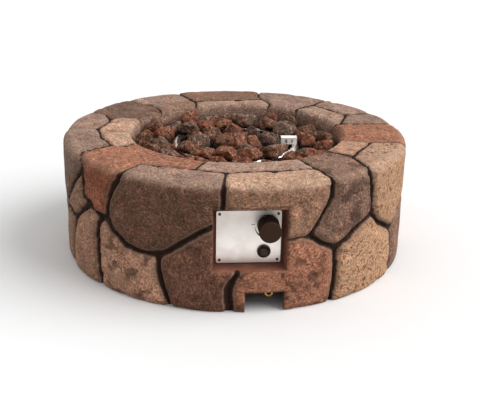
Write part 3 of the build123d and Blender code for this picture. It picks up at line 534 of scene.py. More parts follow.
def spread(marks, open_cells):
    """Carries each mark on a grid to the open cells that it can reach, row and column neighbours in turn."""
    while True:
        grown = marks.copy()
        for shift, axis in ((1, 1), (-1, 1), (1, 0), (-1, 0)):
            beside = np.roll(marks, shift, axis)
            if axis == 0:
                beside[0 if shift == 1 else -1] = 0
            grown = np.where((grown == 0) & open_cells, beside, grown)
        if np.array_equal(grown, marks):
            return marks
        marks = grown


def stone_marks(angles, runs, distance):
    """The number of the stone at each row and column: seeds grow to the joints, then over them."""
    marks = np.zeros(distance.shape, int)
    for number, stone in enumerate(STONES, 1):
        angle, run = stone[1:3]
        column = np.argmin(np.abs(wrapped(angles - angle)))
        marks[np.argmin(np.abs(runs - run)), column] = number
    marks = spread(marks, distance > STONE_EDGE)
    return spread(marks, np.ones(distance.shape, bool))


def quads(rows, columns):
    """Four-sided faces of a grid that closes on itself both ways."""
    row, column = np.meshgrid(np.arange(rows), np.arange(columns), indexing="ij")
    above = (row + 1) % rows
    beside = (column + 1) % columns
    corners = [(row, column), (row, beside), (above, beside), (above, column)]
    return np.stack([(high * columns + across).ravel() for high, across in corners], 1)


def block(box):
    """The eight corners and six faces of a straight block: x, z and y limits."""
    left, right, low, high, front, back = box
    return tapered((left, right, low, high, front), (left, right, low, high, back))


def tapered(front, back):
    """Corners and faces of a block whose front and back are rectangles facing the front."""
    points = []
    for left, right, low, high, depth in (front, back):
        points += [(left, depth, low), (right, depth, low), (right, depth, high), (left, depth, high)]
    faces = [(0, 1, 2, 3), (7, 6, 5, 4), (4, 5, 1, 0), (5, 6, 2, 1), (6, 7, 3, 2), (7, 4, 0, 3)]
    return np.array(points), np.array(faces)


def make_object(name, points, faces, materials):
    """A new object from points in millimetres and a list of arrays of faces, shaded smooth."""
    mesh = bpy.data.meshes.new(name)
    mesh.from_pydata((points * MM).tolist(), [], [face for group in faces for face in group.tolist()])
    mesh.validate()
    mesh.polygons.foreach_set("use_smooth", np.ones(len(mesh.polygons), bool))
    for material in materials:
        mesh.materials.append(material)
    piece = bpy.data.objects.new(name, mesh)
    bpy.context.scene.collection.objects.link(piece)
    return piece


def mesh_points(mesh):
    """A mesh's vertex positions in millimetres."""
    flat = np.zeros(len(mesh.vertices) * 3, np.float32)
    mesh.vertices.foreach_get("co", flat)
    return flat.reshape(-1, 3).astype(float) / MM


def store(mesh, name, kind, values):
    """Keeps one value a vertex on the mesh, for its material to read."""
    layer = mesh.attributes.new(name, kind, "POINT")
    field = {"FLOAT": "value", "FLOAT_VECTOR": "vector", "FLOAT_COLOR": "color"}[kind]
    layer.data.foreach_set(field, np.asarray(values, np.float32).ravel())


def cut_with(piece, cutters):
    """Joins or cuts a closed piece with closed blocks, one after another, and keeps the result."""
    for (points, faces), operation, material in cutters:
        tool = make_object("cutter", points, [faces], [material])
        tool.data.polygons.foreach_set("use_smooth", np.zeros(len(tool.data.polygons), bool))
        change = piece.modifiers.new("cut", "BOOLEAN")
        change.object = tool
        change.operation = operation
        change.solver = "MANIFOLD"
        change.material_mode = "TRANSFER"
        bpy.context.view_layer.update()
        changed = piece.evaluated_get(bpy.context.evaluated_depsgraph_get())
        shaped = bpy.data.meshes.new_from_object(changed)
        piece.modifiers.remove(change)
        piece.data = shaped
        bpy.data.objects.remove(tool)
    if len(piece.data.polygons) == 0:
        raise RuntimeError(f"cutting {piece.name} left nothing")


def fill(tree, node, inputs):
    """Gives each input of a node a value or a link: from a socket, or from a node's first output in use."""
    for name, value in inputs.items():
        if isinstance(value, bpy.types.Node):
            value = next(output for output in value.outputs if output.enabled)
        if isinstance(value, bpy.types.NodeSocket):
            tree.links.new(value, node.inputs[name])
        else:
            node.inputs[name].default_value = value


def add_node(tree, kind, settings, inputs):
    """Adds a node with its settings and fills its inputs."""
    node = tree.nodes.new("ShaderNode" + kind)
    for name, value in settings.items():
        setattr(node, name, value)
    fill(tree, node, inputs)
    return node


def new_material(name, sockets):
    """A material with one principled shader, with the values that are the same all over set on it."""
    material = bpy.data.materials.new(name)
    material.use_nodes = True
    tree = material.node_tree
    shader = tree.nodes["Principled BSDF"]
    fill(tree, shader, sockets)
    return material, tree, shader


def per_metre(size):
    """A texture's scale on coordinates in metres, for a pattern of that size in millimetres."""
    return 1.0 / (size * MM)


def build_up(tree, shader, colour, layers, reliefs):
    """Lays a surface's colours over each other and gives it relief. A layer takes a pattern from low to
    high as an amount from start to end: with a tint, so much of the tint covers what lies below, and without
    one, what lies below gets that many times as bright. A relief stands as many millimetres high as its
    pattern goes from 0 to 1."""
    for pattern, (low, high), (start, end), tint in layers:
        span = {"From Min": low, "From Max": high, "To Min": start, "To Max": end}
        amount = add_node(tree, "MapRange", SOFT, {"Value": pattern, **span})
        if tint is None:
            colour = add_node(tree, "Mix", MULTIPLY, {0: 1.0, 6: colour, 7: amount})
        else:
            colour = add_node(tree, "Mix", COVER, {0: amount, 6: colour, 7: tint})
    below = {}
    for pattern, depth in reliefs:
        raised = add_node(tree, "Bump", {}, {"Height": pattern, "Distance": depth * MM, **below})
        below = {"Normal": raised}
    fill(tree, shader, {"Base Color": colour, **below})


def stained_concrete(settings):
    """Concrete cast in a rubber mould taken from split stone, then stained by brush. Matte, with fine hairs
    and pits from the mould, pigment that lies uneven, and dark wash left in the joints. Painted shade darkens
    the stones beside the joints, painted highlights lighten the stones' edges and the outer edge, and the
    mouth grows darker further down."""
    material, tree, shader = new_material("cast_concrete_brush_stained", CONCRETE)
    outputs = {"grain": "Vector", "stain": "Color"}
    outputs |= dict.fromkeys(("seam", "fleck", "patch", "dab", "soot", "wear"), "Fac")
    kept = {
        name: add_node(tree, "Attribute", {"attribute_name": name}, {}).outputs[output]
        for name, output in outputs.items()
    }
    # The brush swirled the stain by this much, and the mould's hairs are drawn out along the grain
    swirl_reach = (24.0 * MM, 24.0 * MM, 0.0)
    drawn_out = (1.0, 0.4, 1.0)
    bent = add_node(
        tree, "TexNoise", {}, {"Vector": kept["grain"], "Scale": per_metre(30.0), "Detail": 1.0}
    ).outputs["Color"]
    swirl = add_node(
        tree, "VectorMath", {"operation": "MULTIPLY_ADD"}, {0: bent, 1: swirl_reach, 2: kept["grain"]}
    )
    drawn = add_node(tree, "Mapping", {}, {"Vector": swirl, "Scale": drawn_out})
    # Each pattern's grain size in millimetres, its finer detail and how rough that is
    grains = {
        "cloud": (kept["grain"], 52.0, 3.0, 0.55),
        "rust": (swirl, 36.0, 3.0, 0.55),
        "blotch": (swirl, 17.0, 3.0, 0.55),
        "hairs": (drawn, 2.5, 2.0, 0.6),
        "grit": (kept["grain"], 4.2, 2.0, 0.7),
        "spark": (drawn, 5.0, 2.0, 0.6),
        "fleck": (swirl, 7.5, 1.0, 0.5),
        "patch": (swirl, 32.0, 1.0, 0.55),
        "dab": (swirl, 6.0, 2.0, 0.6),
    }
    pattern = {
        name: add_node(
            tree, "TexNoise", {},
            {"Vector": space, "Scale": per_metre(size), "Detail": detail, "Roughness": rough},
        )
        for name, (space, size, detail, rough) in grains.items()
    }
    for name in ("fleck", "patch", "dab"):
        pattern[name] = add_node(tree, "Math", {"operation": "MULTIPLY"}, {0: kept[name], 1: pattern[name]})
    # The wash's edge wanders with the blotches
    wander = {0: pattern["blotch"], 1: 0.7, 2: kept["seam"]}
    ragged = add_node(tree, "Math", {"operation": "MULTIPLY_ADD"}, wander)
    layers = [
        (pattern["cloud"], (0.3, 0.7), (0.78, 1.2), None),
        (pattern["rust"], (0.5, 0.72), (0.0, 0.32), linear("#a5664b")),
        (pattern["blotch"], (0.3, 0.7), (0.7, 1.3), None),
        (pattern["hairs"], (0.34, 0.5), (0.58, 1.0), None),
        (pattern["hairs"], (0.5, 0.68), (1.0, 1.75), None),
        (kept["fleck"], (0.0, 1.0), (0.0, 0.6), kept["stain"]),
        (pattern["rust"], (0.4, 0.6), (0.6, 0.0), kept["stain"]),
        (pattern["fleck"], (0.59, 0.66), (0.0, 0.8), settings.fleck_colour),
        (pattern["patch"], (0.53, 0.64), (0.0, 0.65), linear("#4d3428")),
        (pattern["dab"], (0.48, 0.64), (0.0, 0.5), linear("#bd9473")),
        (pattern["spark"], (0.56, 0.68), (0.0, 0.5), linear("#b98a72")),
        (pattern["grit"], (0.34, 0.66), (0.65, 1.33), None),
        # Painted highlight along the outer edge
        (kept["wear"], (0.0, 1.0), (0.0, settings.edge_wear), linear("#d9b79a")),
        # Darker beside the joints: partly dark wash, partly painted shade on the stones' rounded flanks
        (kept["seam"], (0.7, 2.4), (0.4, 0.0), linear("#4d3526")),
        # Light rim on the stones' edges beside the joints: partly stain rubbed off, partly painted highlight
        (ragged, (1.25, 1.8), (0.3, 0.0), linear("#c4a088")),
        # Darker further down inside the mouth
        (kept["soot"], (0.0, 1.0), (0.0, 0.6), linear("#35261e")),
        (ragged, (0.85, 1.3), (1.0, 0.0), settings.joint_colour),
    ]
    depths = {"cloud": 1.5, "blotch": 1.6, "hairs": 1.9, "grit": 1.2}
    reliefs = [(pattern[name], depth) for name, depth in depths.items()]
    build_up(tree, shader, kept["stain"], layers, reliefs)
    return material


def moulded_recess():
    """The same concrete where the mould's smooth core formed it: reddish, plain, lightly pitted, with painted
    shade that darkens it the deeper it lies."""
    material, tree, shader = new_material("cast_concrete_smooth_core", CONCRETE)
    place = add_node(tree, "TexCoord", {}, {}).outputs["Object"]
    cloud = add_node(tree, "TexNoise", {}, {"Vector": place, "Scale": per_metre(28.0), "Detail": 4.0})
    grit = add_node(tree, "TexNoise", {}, {"Vector": place, "Scale": per_metre(3.0), "Roughness": 0.7})
    depth = add_node(tree, "SeparateXYZ", {}, {0: place}).outputs["Y"]
    layers = [
        (cloud, (0.3, 0.7), (0.0, 1.0), linear("#8a5a48")),
        (grit, (0.4, 0.6), (0.3, 0.0), linear("#4a3529")),
        # Painted shade: darker the deeper it lies in the recess
        (depth, [far * MM for far in RECESS_WASH], (0.0, 0.45), linear("#36251b")),
    ]
    build_up(tree, shader, linear("#b0735b"), layers, [(cloud, 1.0), (grit, 0.4)])
    return material


def raw_concrete():
    """Bare concrete on the hidden side, as it left the mould: grey-brown with pale bloom and air pits."""
    material, tree, shader = new_material("cast_concrete_unstained", CONCRETE)
    place = add_node(tree, "TexCoord", {}, {}).outputs["Object"]
    cloud = add_node(tree, "TexNoise", {}, {"Vector": place, "Scale": per_metre(60.0), "Detail": 4.0})
    cells = add_node(tree, "TexVoronoi", {}, {"Vector": place, "Scale": per_metre(9.0)})
    pits = add_node(tree, "MapRange", SOFT, {"Value": cells, "From Min": 0.1, "From Max": 0.25})
    layers = [
        (cloud, (0.3, 0.7), (0.0, 1.0), linear("#857970")),
        (pits, (0.0, 1.0), (0.6, 0.0), linear("#3d342e")),
    ]
    build_up(tree, shader, linear("#6d6059"), layers, [(cloud, 1.0), (pits, 0.8)])
    return material


def length_setting(name, description, millimetres):
    """A size that a user may change."""
    return bpy.props.FloatProperty(
        name=name, description=description, default=millimetres * MM, unit="LENGTH"
    )


def colour_setting(name, description, code):
    """A colour that a user may change."""
    return bpy.props.FloatVectorProperty(
        name=name, description=description, default=linear(code), size=4, subtype="COLOR"
    )


class FirePitStone(bpy.types.PropertyGroup):
    """Sizes and colours of the cast surround."""

    joint_depth: length_setting("Joint depth", "Depth of the joints between the stones", 8.0)
    joint_half_width: length_setting("Joint half width", "From a joint's middle to the stone's face", 7.6)
    deck_joint_half_width: length_setting(
        "Deck joint half width", "The same on the deck, where joints are finer", 3.8
    )
    crown: length_setting("Crown", "How far a stone's face falls off towards its joints", 4.6)
    roughness_depth: length_setting("Split face depth", "Depth of the uneven split faces", 2.4)
    scar_depth: length_setting("Scar depth", "Depth of the scars where flakes came off", 2.2)
    # How strong the painted highlight along the outer edge is
    edge_wear: bpy.props.FloatProperty(
        name="Edge wear",
        description="How far stain has rubbed off the outer edge",
        default=0.18,
        subtype="FACTOR",
    )
    joint_colour: colour_setting("Joints", "Dark wash in the joints", "#362116")
    fleck_colour: colour_setting("Flecks", "Red flecks on some of the stones", "#824834")


class FIREPIT_OT_surround(bpy.types.Operator):
    """Cast stone surround with its joints, recess and hose notch"""

    bl_idname = "firepit.surround"
    bl_label = "Stone surround"

    def execute(self, context):
        settings = context.scene.fire_pit_stone
        rows, shown = section_rows()
        angles = section_angles()
        face_rows = rows[:shown]
        runs = section_run(face_rows[:, 0], face_rows[:, 1])
        angle, run = np.meshgrid(angles, runs)
        radius = np.broadcast_to(face_rows[:, :1], angle.shape)
        level = np.broadcast_to(face_rows[:, 1:2], angle.shape)
        distance = joint_distance(angle, radius, level, run)
        marks = stone_marks(angles, runs, distance)
        depth = self.face_depth(settings, angle, radius, level, run, distance, marks)
        full_depth = np.zeros((len(rows), len(angles)))
        full_depth[:shown] = depth
        far = rows[:, :1] - rows[:, 2:3] * full_depth
        high = rows[:, 1:2] - rows[:, 3:4] * full_depth
        points = on_surround(angles, far, high).reshape(-1, 3)
        stone = stained_concrete(settings)
        lining = moulded_recess()
        raw = raw_concrete()
        piece = make_object("cast_stone_surround", points, [quads(len(rows), len(angles))], [stone, raw])
        hidden_rows = np.repeat(np.arange(len(rows)) >= shown - 1, len(angles)).astype(np.int32)
        piece.data.polygons.foreach_set("material_index", hidden_rows)
        cut_with(piece, [
            (tapered(POCKET_FRONT, POCKET_BACK), "UNION", raw),
            (tapered(RECESS_MOUTH, RECESS_FLOOR), "DIFFERENCE", lining),
            (block(WINDOW), "DIFFERENCE", raw),
            (block(NOTCH), "DIFFERENCE", lining),
        ])
        self.paint(settings, piece.data, angles, runs, marks)
        piece.data.set_sharp_from_angle(angle=math.radians(SHARP_EDGE))
        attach(piece, "surround")
        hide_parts("stone_surround")
        return {"FINISHED"}

    def face_depth(self, settings, angle, radius, level, run, distance, marks):
        """How far each point of the stone faces lies inside the plain casting: the joint's groove, the
        fall-off beside it, the stone's own setback, the split face with its flake scars, and the round edges
        at foot, recess and notch. Beside the recess it stays in front of the box cast behind."""
        place = on_surround(angle, radius, level)
        from_front = wrapped(angle)
        over = smooth(WALL_TOP, DECK_START, run)
        outside_mouth = 1.0 - past_brink(run)
        groove = settings.joint_depth / MM * (1.0 - DECK_GROOVE_LOSS * over) * outside_mouth
        groove *= 1.0 - smooth(*GROOVE_SIDES, distance / joint_reach(settings, run))
        crown = settings.crown / MM * (1.0 - DECK_CROWN_LOSS * over)
        crown = crown * np.exp(-np.maximum(distance, 0.0) / CROWN_REACH)
        setback = SETBACK * per_number(marks, SETBACK_SEED)
        setback = setback * (1.0 - smooth(0.0, settings.joint_depth / MM, groove))
        split = settings.roughness_depth / MM * mixed_lumps(place, SPLIT_LUMPS)
        scars = settings.scar_depth / MM * hollows(place, SCARS) * outside_mouth
        foot = np.clip(1.0 - run / FOOT_ROUND, 0.0, 1.0)
        foot = (FOOT_DEPTH + mixed_lumps(place, FOOT_LUMPS)) * (1.0 - np.sqrt(1.0 - foot**2))
        across = OUTER * np.sin(np.radians(angle)) + np.where(np.abs(from_front) > 90.0, FAR_AWAY, 0.0)
        recess = rim_depth(across, level, RECESS_RIM, RECESS_ROUND)
        notch = rim_depth(across, level, NOTCH[:4], NOTCH_ROUND)
        on_wall = run <= WALL_TOP
        rims = np.where(on_wall, np.maximum(np.maximum(recess, notch), foot), 0.0)
        depth = groove + crown + setback + split + scars + rims
        beside = np.radians(np.clip(from_front, -POCKET_TURN, POCKET_TURN))
        before_pocket = OUTER + (POCKET_FRONT[4] - POCKET_CLEAR) / np.cos(beside)
        near = (np.abs(from_front) < POCKET_TURN) & on_wall
        return np.where(near, np.minimum(depth, before_pocket), depth)

    def paint(self, settings, mesh, angles, runs, marks):
        """Keeps on the finished mesh what its material reads: each stone's stain and grain directions, the
        distance to the joints, a painted highlight along the outer edge, which stones have flecks, patches or
        dabs, and how much darker it grows down inside the mouth."""
        points = mesh_points(mesh)
        angle = np.degrees(np.arctan2(points[:, 0], -points[:, 1]))
        radius = np.hypot(points[:, 0], points[:, 1])
        run = section_run(radius, points[:, 2])
        distance = joint_distance(angle, radius, points[:, 2], run)
        row = np.round(np.interp(run, runs, np.arange(len(runs)))).astype(int)
        column = np.round(np.interp(angle, angles, np.arange(len(angles)))).astype(int) % len(angles)
        mark = marks[row, column]
        inside = radius < DECK_INSIDE
        over = smooth(WALL_TOP, DECK_START, run)
        store(mesh, "stain", "FLOAT_COLOR", self.stain(points, run, inside, mark))
        store(mesh, "grain", "FLOAT_VECTOR", self.grain(angle, radius, run, mark) * MM)
        store(mesh, "seam", "FLOAT", np.minimum(distance / joint_reach(settings, run), SEAM_MOST))
        # A painted highlight along the outer edge, strongest at its middle
        edge_middle = (WALL_TOP + DECK_START) / 2
        store(mesh, "wear", "FLOAT", np.exp(-(((run - edge_middle) / WEAR_REACH) ** 2)))
        for layer, chosen, where in (("fleck", FLECKED, 1.0), ("patch", PATCHED, 1.0), ("dab", DABBED, over)):
            has_it = np.array([0.0] + [float(stone[0] in chosen) for stone in STONES])[mark]
            store(mesh, layer, "FLOAT", has_it * where)
        # Darker further down inside the mouth
        store(mesh, "soot", "FLOAT", smooth(*SOOT_RANGE, run) * inside)

    def stain(self, points, run, inside, mark):
        """Each point's stain: the stone's own on the wall and on the deck with a ragged edge between them, a
        shade that differs from stone to stone, and barer concrete inside the mouth."""
        palette = {name: linear(code) for name, code in STAINS.items()}
        deck = np.array([palette["fawn"]] + [palette[stone[3]] for stone in STONES])[mark]
        wall = np.array([palette["fawn"]] + [palette[stone[4]] for stone in STONES])[mark]
        reach, size, seed = RAGGED_EDGE
        ragged = reach * (lumps(points, size, seed) - 0.5)
        share = smooth(*STAIN_EDGE, run + ragged)[:, None]
        shade = DARKEST_SHADE + SHADE_SPREAD * per_number(mark, SHADE_SEED)[:, None]
        stain = (wall * (1.0 - share) + deck * share) * shade
        bare = BARE_SHARE * (past_brink(run) * inside)[:, None]
        stain = stain * (1.0 - bare) + np.array(palette["tan"]) * bare
        stain[:, 3] = 1.0
        return stain

    def grain(self, angle, radius, run, mark):
        """Each stone's own coordinates along its face, turned by its lean, with the stones far apart."""
        middle = np.array([0.0] + [stone[1] for stone in STONES])[mark]
        lean = GRAIN_LEAN * (per_number(mark, LEAN_SEED) - 0.5)
        across = np.radians(wrapped(angle - middle)) * np.minimum(radius, OUTER)
        along = across * np.cos(lean) - run * np.sin(lean)
        up = across * np.sin(lean) + run * np.cos(lean)
        return np.stack([along, up, GRAIN_APART * mark], 1)


def rock_planes(node):
    """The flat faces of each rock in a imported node: the rock's middle, and its faces' directions and
    distances from there."""
    mesh = node.data
    corners = np.zeros(len(mesh.loops), np.int32)
    mesh.loops.foreach_get("vertex_index", corners)
    points = mesh_points(mesh)
    kept, same = np.unique(np.round(points, 2), axis=0, return_inverse=True)
    triangles = same.ravel()[corners].reshape(-1, 3)
    marks = np.arange(len(kept))
    while True:
        lowest = marks[triangles].min(1)
        grown = marks.copy()
        np.minimum.at(grown, triangles.ravel(), np.repeat(lowest, 3))
        if np.array_equal(grown, marks):
            break
        marks = grown
    rocks = []
    for mark in np.unique(marks):
        own = kept[triangles[marks[triangles[:, 0]] == mark]]
        middle = (own.reshape(-1, 3).min(0) + own.reshape(-1, 3).max(0)) / 2
        outward = np.cross(own[:, 1] - own[:, 0], own[:, 2] - own[:, 0])
        size = np.linalg.norm(outward, axis=1, keepdims=True)
        real = size[:, 0] > 1e-6
        outward = outward[real] / size[real]
        reach = np.sum(outward * (own[real, 0] - middle), axis=1)
        flats = np.unique(np.round(np.column_stack([outward, reach]), 2), axis=0)
        rocks.append((middle, flats[:, :3], np.maximum(flats[:, 3], 1.0)))
    return rocks


def ball(rows, columns):
    """Directions on a ball in rings between two poles, with faces that close at the poles."""
    rise = np.linspace(-math.pi / 2, math.pi / 2, rows + 1)[1:-1]
    turn = np.arange(columns) * 2 * math.pi / columns
    rise, turn = np.meshgrid(rise, turn, indexing="ij")
    rings = np.stack([np.cos(rise) * np.cos(turn), np.cos(rise) * np.sin(turn), np.sin(rise)], -1)
    rings = rings.reshape(-1, 3)
    ways = np.concatenate([rings, [(0.0, 0.0, -1.0), (0.0, 0.0, 1.0)]])
    # Without the last strip, which would join the rings at the two poles
    sides = quads(rows - 1, columns)[: (rows - 2) * columns]
    start = np.arange(columns)
    after = (start + 1) % columns
    top = (rows - 2) * columns
    low = np.stack([after, start, np.full(columns, len(rings))], 1)
    high = np.stack([top + start, top + after, np.full(columns, len(rings) + 1)], 1)
    return ways, sides, low, high


def rock_surface(rock, ways, settings):
    """One rock: in each direction its faces' distances are joined into one round-edged reach, as the root of
    a sum of high powers, and swollen a little. Lumps and pits go in from there, less on a side that is near
    the middle."""
    middle, outward, reach = rock
    facing = np.maximum(ways @ outward.T, 0.0) / reach
    far = settings.swell * np.sum(facing**settings.edge_power, axis=1) ** (-1.0 / settings.edge_power)
    points = middle + ways * far[:, None]
    uneven = mixed_lumps(points, ROCK_LUMPS) - LUMPS_PROUD
    inward = (settings.lump_depth * uneven + settings.pit_depth * hollows(points, ROCK_PITS)) / MM
    return middle + ways * (far - inward * np.minimum(far / ROCK_HALF, 1.0))[:, None]


def lava_rock():
    """Vesicular basalt, broken and tumbled: matte, full of gas pits, rusted brown and red, grey where it
    isn't, with pale dust that is partly painted highlight, and painted shade on each rock's lower part."""
    matte = {"Roughness": 0.95, "Specular IOR Level": 0.2}
    material, tree, shader = new_material("vesicular_basalt_tumbled", matte)
    place = add_node(tree, "TexCoord", {}, {}).outputs["Object"]
    tone = add_node(tree, "Attribute", {"attribute_name": "tone"}, {}).outputs["Color"]
    char = add_node(tree, "Attribute", {"attribute_name": "char"}, {}).outputs["Fac"]
    # Each pattern's grain size in millimetres, its finer detail and how rough that is
    grains = {"cloud": (20.0, 4.0, 0.6), "dust": (9.0, 3.0, 0.65), "grit": (2.8, 2.0, 0.7)}
    cloud, dust, grit = (
        add_node(
            tree, "TexNoise", {},
            {"Vector": place, "Scale": per_metre(size), "Detail": detail, "Roughness": rough},
        )
        for size, detail, rough in grains.values()
    )
    cells = add_node(tree, "TexVoronoi", {}, {"Vector": place, "Scale": per_metre(4.4)})
    pits = add_node(tree, "MapRange", SOFT, {"Value": cells, "From Min": 0.12, "From Max": 0.42})
    layers = [
        (cloud, (0.47, 0.6), (0.0, 0.65), linear("#88604e")),
        (cloud, (0.34, 0.46), (0.7, 0.0), linear("#43342b")),
        # Pale dust, partly painted highlights
        (dust, (0.52, 0.66), (0.0, 0.6), linear("#b99a84")),
        (grit, (0.34, 0.66), (0.58, 1.45), None),
        (pits, (0.0, 1.0), (0.7, 0.0), linear("#20140f")),
        # Painted shade on each rock's lower part
        (char, (0.0, 1.0), (0.0, 0.9), linear("#170f0c")),
    ]
    build_up(tree, shader, tone, layers, [(cloud, 1.8), (dust, 1.4), (pits, 1.5), (grit, 0.9)])
    return material


class FirePitRocks(bpy.types.PropertyGroup):
    """Sizes and colours of the lava rocks."""

    edge_power: bpy.props.FloatProperty(
        name="Edge sharpness",
        description="Higher keeps the rocks' edges sharper",
        default=20.0,
        min=4.0,
        max=40.0,
    )
    swell: bpy.props.FloatProperty(
        name="Swell",
        description="Size of a rock before lumps and pits go in, against its flat faces",
        default=1.05,
    )
    lump_depth: length_setting("Lump depth", "Depth of the uneven broken faces", 5.5)
    pit_depth: length_setting("Pit depth", "Depth of the gas pits", 3.0)
    red: colour_setting("Red rock", "Rusted rocks", "#87503a")
    brown: colour_setting("Brown rock", "Brown rocks", "#6c4836")
    grey: colour_setting("Grey rock", "Rocks that haven't rusted", "#69554a")


class FIREPIT_OT_rocks(bpy.types.Operator):
    """Lava rocks in the burner pan, one for each packed rock"""

    bl_idname = "firepit.rocks"
    bl_label = "Lava rocks"

    def execute(self, context):
        settings = context.scene.fire_pit_rocks
        material = lava_rock()
        ways, *sides = ball(ROCK_RINGS, ROCK_COLUMNS)
        tones = np.array([settings.red, settings.brown, settings.grey])
        for number, bed in enumerate(("lava_rocks_inner", "lava_rocks_outer", "lava_rocks_upper")):
            rocks = rock_planes(frame["nodes"][bed])
            if not rocks:
                raise RuntimeError(f"{bed} holds no rocks")
            points = np.stack([rock_surface(rock, ways, settings) for rock in rocks])
            starts = np.arange(len(rocks))[:, None, None] * len(ways)
            faces = [(starts + part).reshape(-1, part.shape[1]) for part in sides]
            piece = make_object(bed + "_piece", points.reshape(-1, 3), faces, [material])
            pick = per_number(np.arange(len(rocks)) + 100 * number, TONE_SEED)
            tone = tones[np.minimum((pick * len(tones)).astype(int), len(tones) - 1)]
            store(piece.data, "tone", "FLOAT_COLOR", np.repeat(tone, len(ways), axis=0))
            # Painted shade on each rock's lower part, by depth below its own top
            deep = points[..., 2].max(1, keepdims=True) - points[..., 2]
            store(piece.data, "char", "FLOAT", smooth(*CHAR_RANGE, deep))
            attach(piece, "surround")
            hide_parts(bed)
        return {"FINISHED"}


def worked_metal(name, colour, tint, roughness, line, across, depth, haze=None):
    """A metal surface with fine lines left by its making, drawn along one axis, and a faint tint that lies
    uneven. The lines are further apart than the real ones, so that they show. Painted shade that darkens it
    towards the top is given as where it starts and ends along z, and its tint."""
    material, tree, shader = new_material(name, {"Metallic": 1.0})
    place = add_node(tree, "TexCoord", {}, {}).outputs["Object"]
    drawn = add_node(tree, "Mapping", {}, {"Vector": place, "Scale": across})
    lines = add_node(tree, "TexNoise", {}, {"Vector": drawn, "Scale": per_metre(line), "Roughness": 0.6})
    cloud = add_node(tree, "TexNoise", {}, {"Vector": place, "Scale": per_metre(24.0), "Detail": 3.0})
    sheen = {"From Min": 0.3, "From Max": 0.7, "To Min": roughness - 0.07, "To Max": roughness + 0.09}
    fill(tree, shader, {"Roughness": add_node(tree, "MapRange", SOFT, {"Value": lines, **sheen})})
    layers = [(cloud, (0.38, 0.68), (0.0, 0.8), linear(tint))]
    # Painted shade: darker towards the top
    if haze:
        start, end, smoke = haze
        level = add_node(tree, "SeparateXYZ", {}, {0: place}).outputs["Z"]
        layers.append((level, (start * MM, end * MM), (0.0, 0.5), linear(smoke)))
    build_up(tree, shader, linear(colour), layers, [(lines, depth)])
    return material


def moulded(name, colour, second, roughness, grit, depth, gloss=0.5, rubbed=None):
    """A moulded or fired surface that isn't metal: one colour that clouds a little, with the mould's fine
    grain. The grain is coarser than the real one, so that it shows. A painted highlight that lightens the
    front face and fades backwards is given as its place along y, how deep it reaches, and its tint."""
    material, tree, shader = new_material(name, {"Specular IOR Level": gloss})
    place = add_node(tree, "TexCoord", {}, {}).outputs["Object"]
    grain = add_node(tree, "TexNoise", {}, {"Vector": place, "Scale": per_metre(grit), "Roughness": 0.6})
    cloud = add_node(tree, "TexNoise", {}, {"Vector": place, "Scale": per_metre(12.0), "Detail": 3.0})
    sheen = {"From Min": 0.3, "From Max": 0.7, "To Min": roughness - 0.05, "To Max": roughness + 0.06}
    fill(tree, shader, {"Roughness": add_node(tree, "MapRange", SOFT, {"Value": grain, **sheen})})
    layers = [(cloud, (0.35, 0.65), (0.0, 1.0), linear(second))]
    # Painted highlight: the front face lighter, fading backwards
    if rubbed:
        face, deep, paler = rubbed
        ahead = add_node(tree, "SeparateXYZ", {}, {0: place}).outputs["Y"]
        layers.append((ahead, (face * MM, (face + deep) * MM), (0.85, 0.0), linear(paler)))
    build_up(tree, shader, linear(colour), layers, [(grain, depth)])
    return material


# Slots whose solids the surround and the rocks stand in for
REPLACED_SLOTS = ("cast_stone", "lava_rock")
# Which way a metal's lines run
EVEN = (1.0, 1.0, 1.0)
ALONG_X = (0.03, 1.0, 1.0)
ALONG_Y = (1.0, 0.03, 1.0)
# Painted shade that darkens the panel towards the top, and a painted highlight on the knob's front face
PANEL_HAZE = (110.0, 175.0, "#a3978f")
KNOB_RUBBED = (KNOB_FACE, 2.0, "#4a3629")


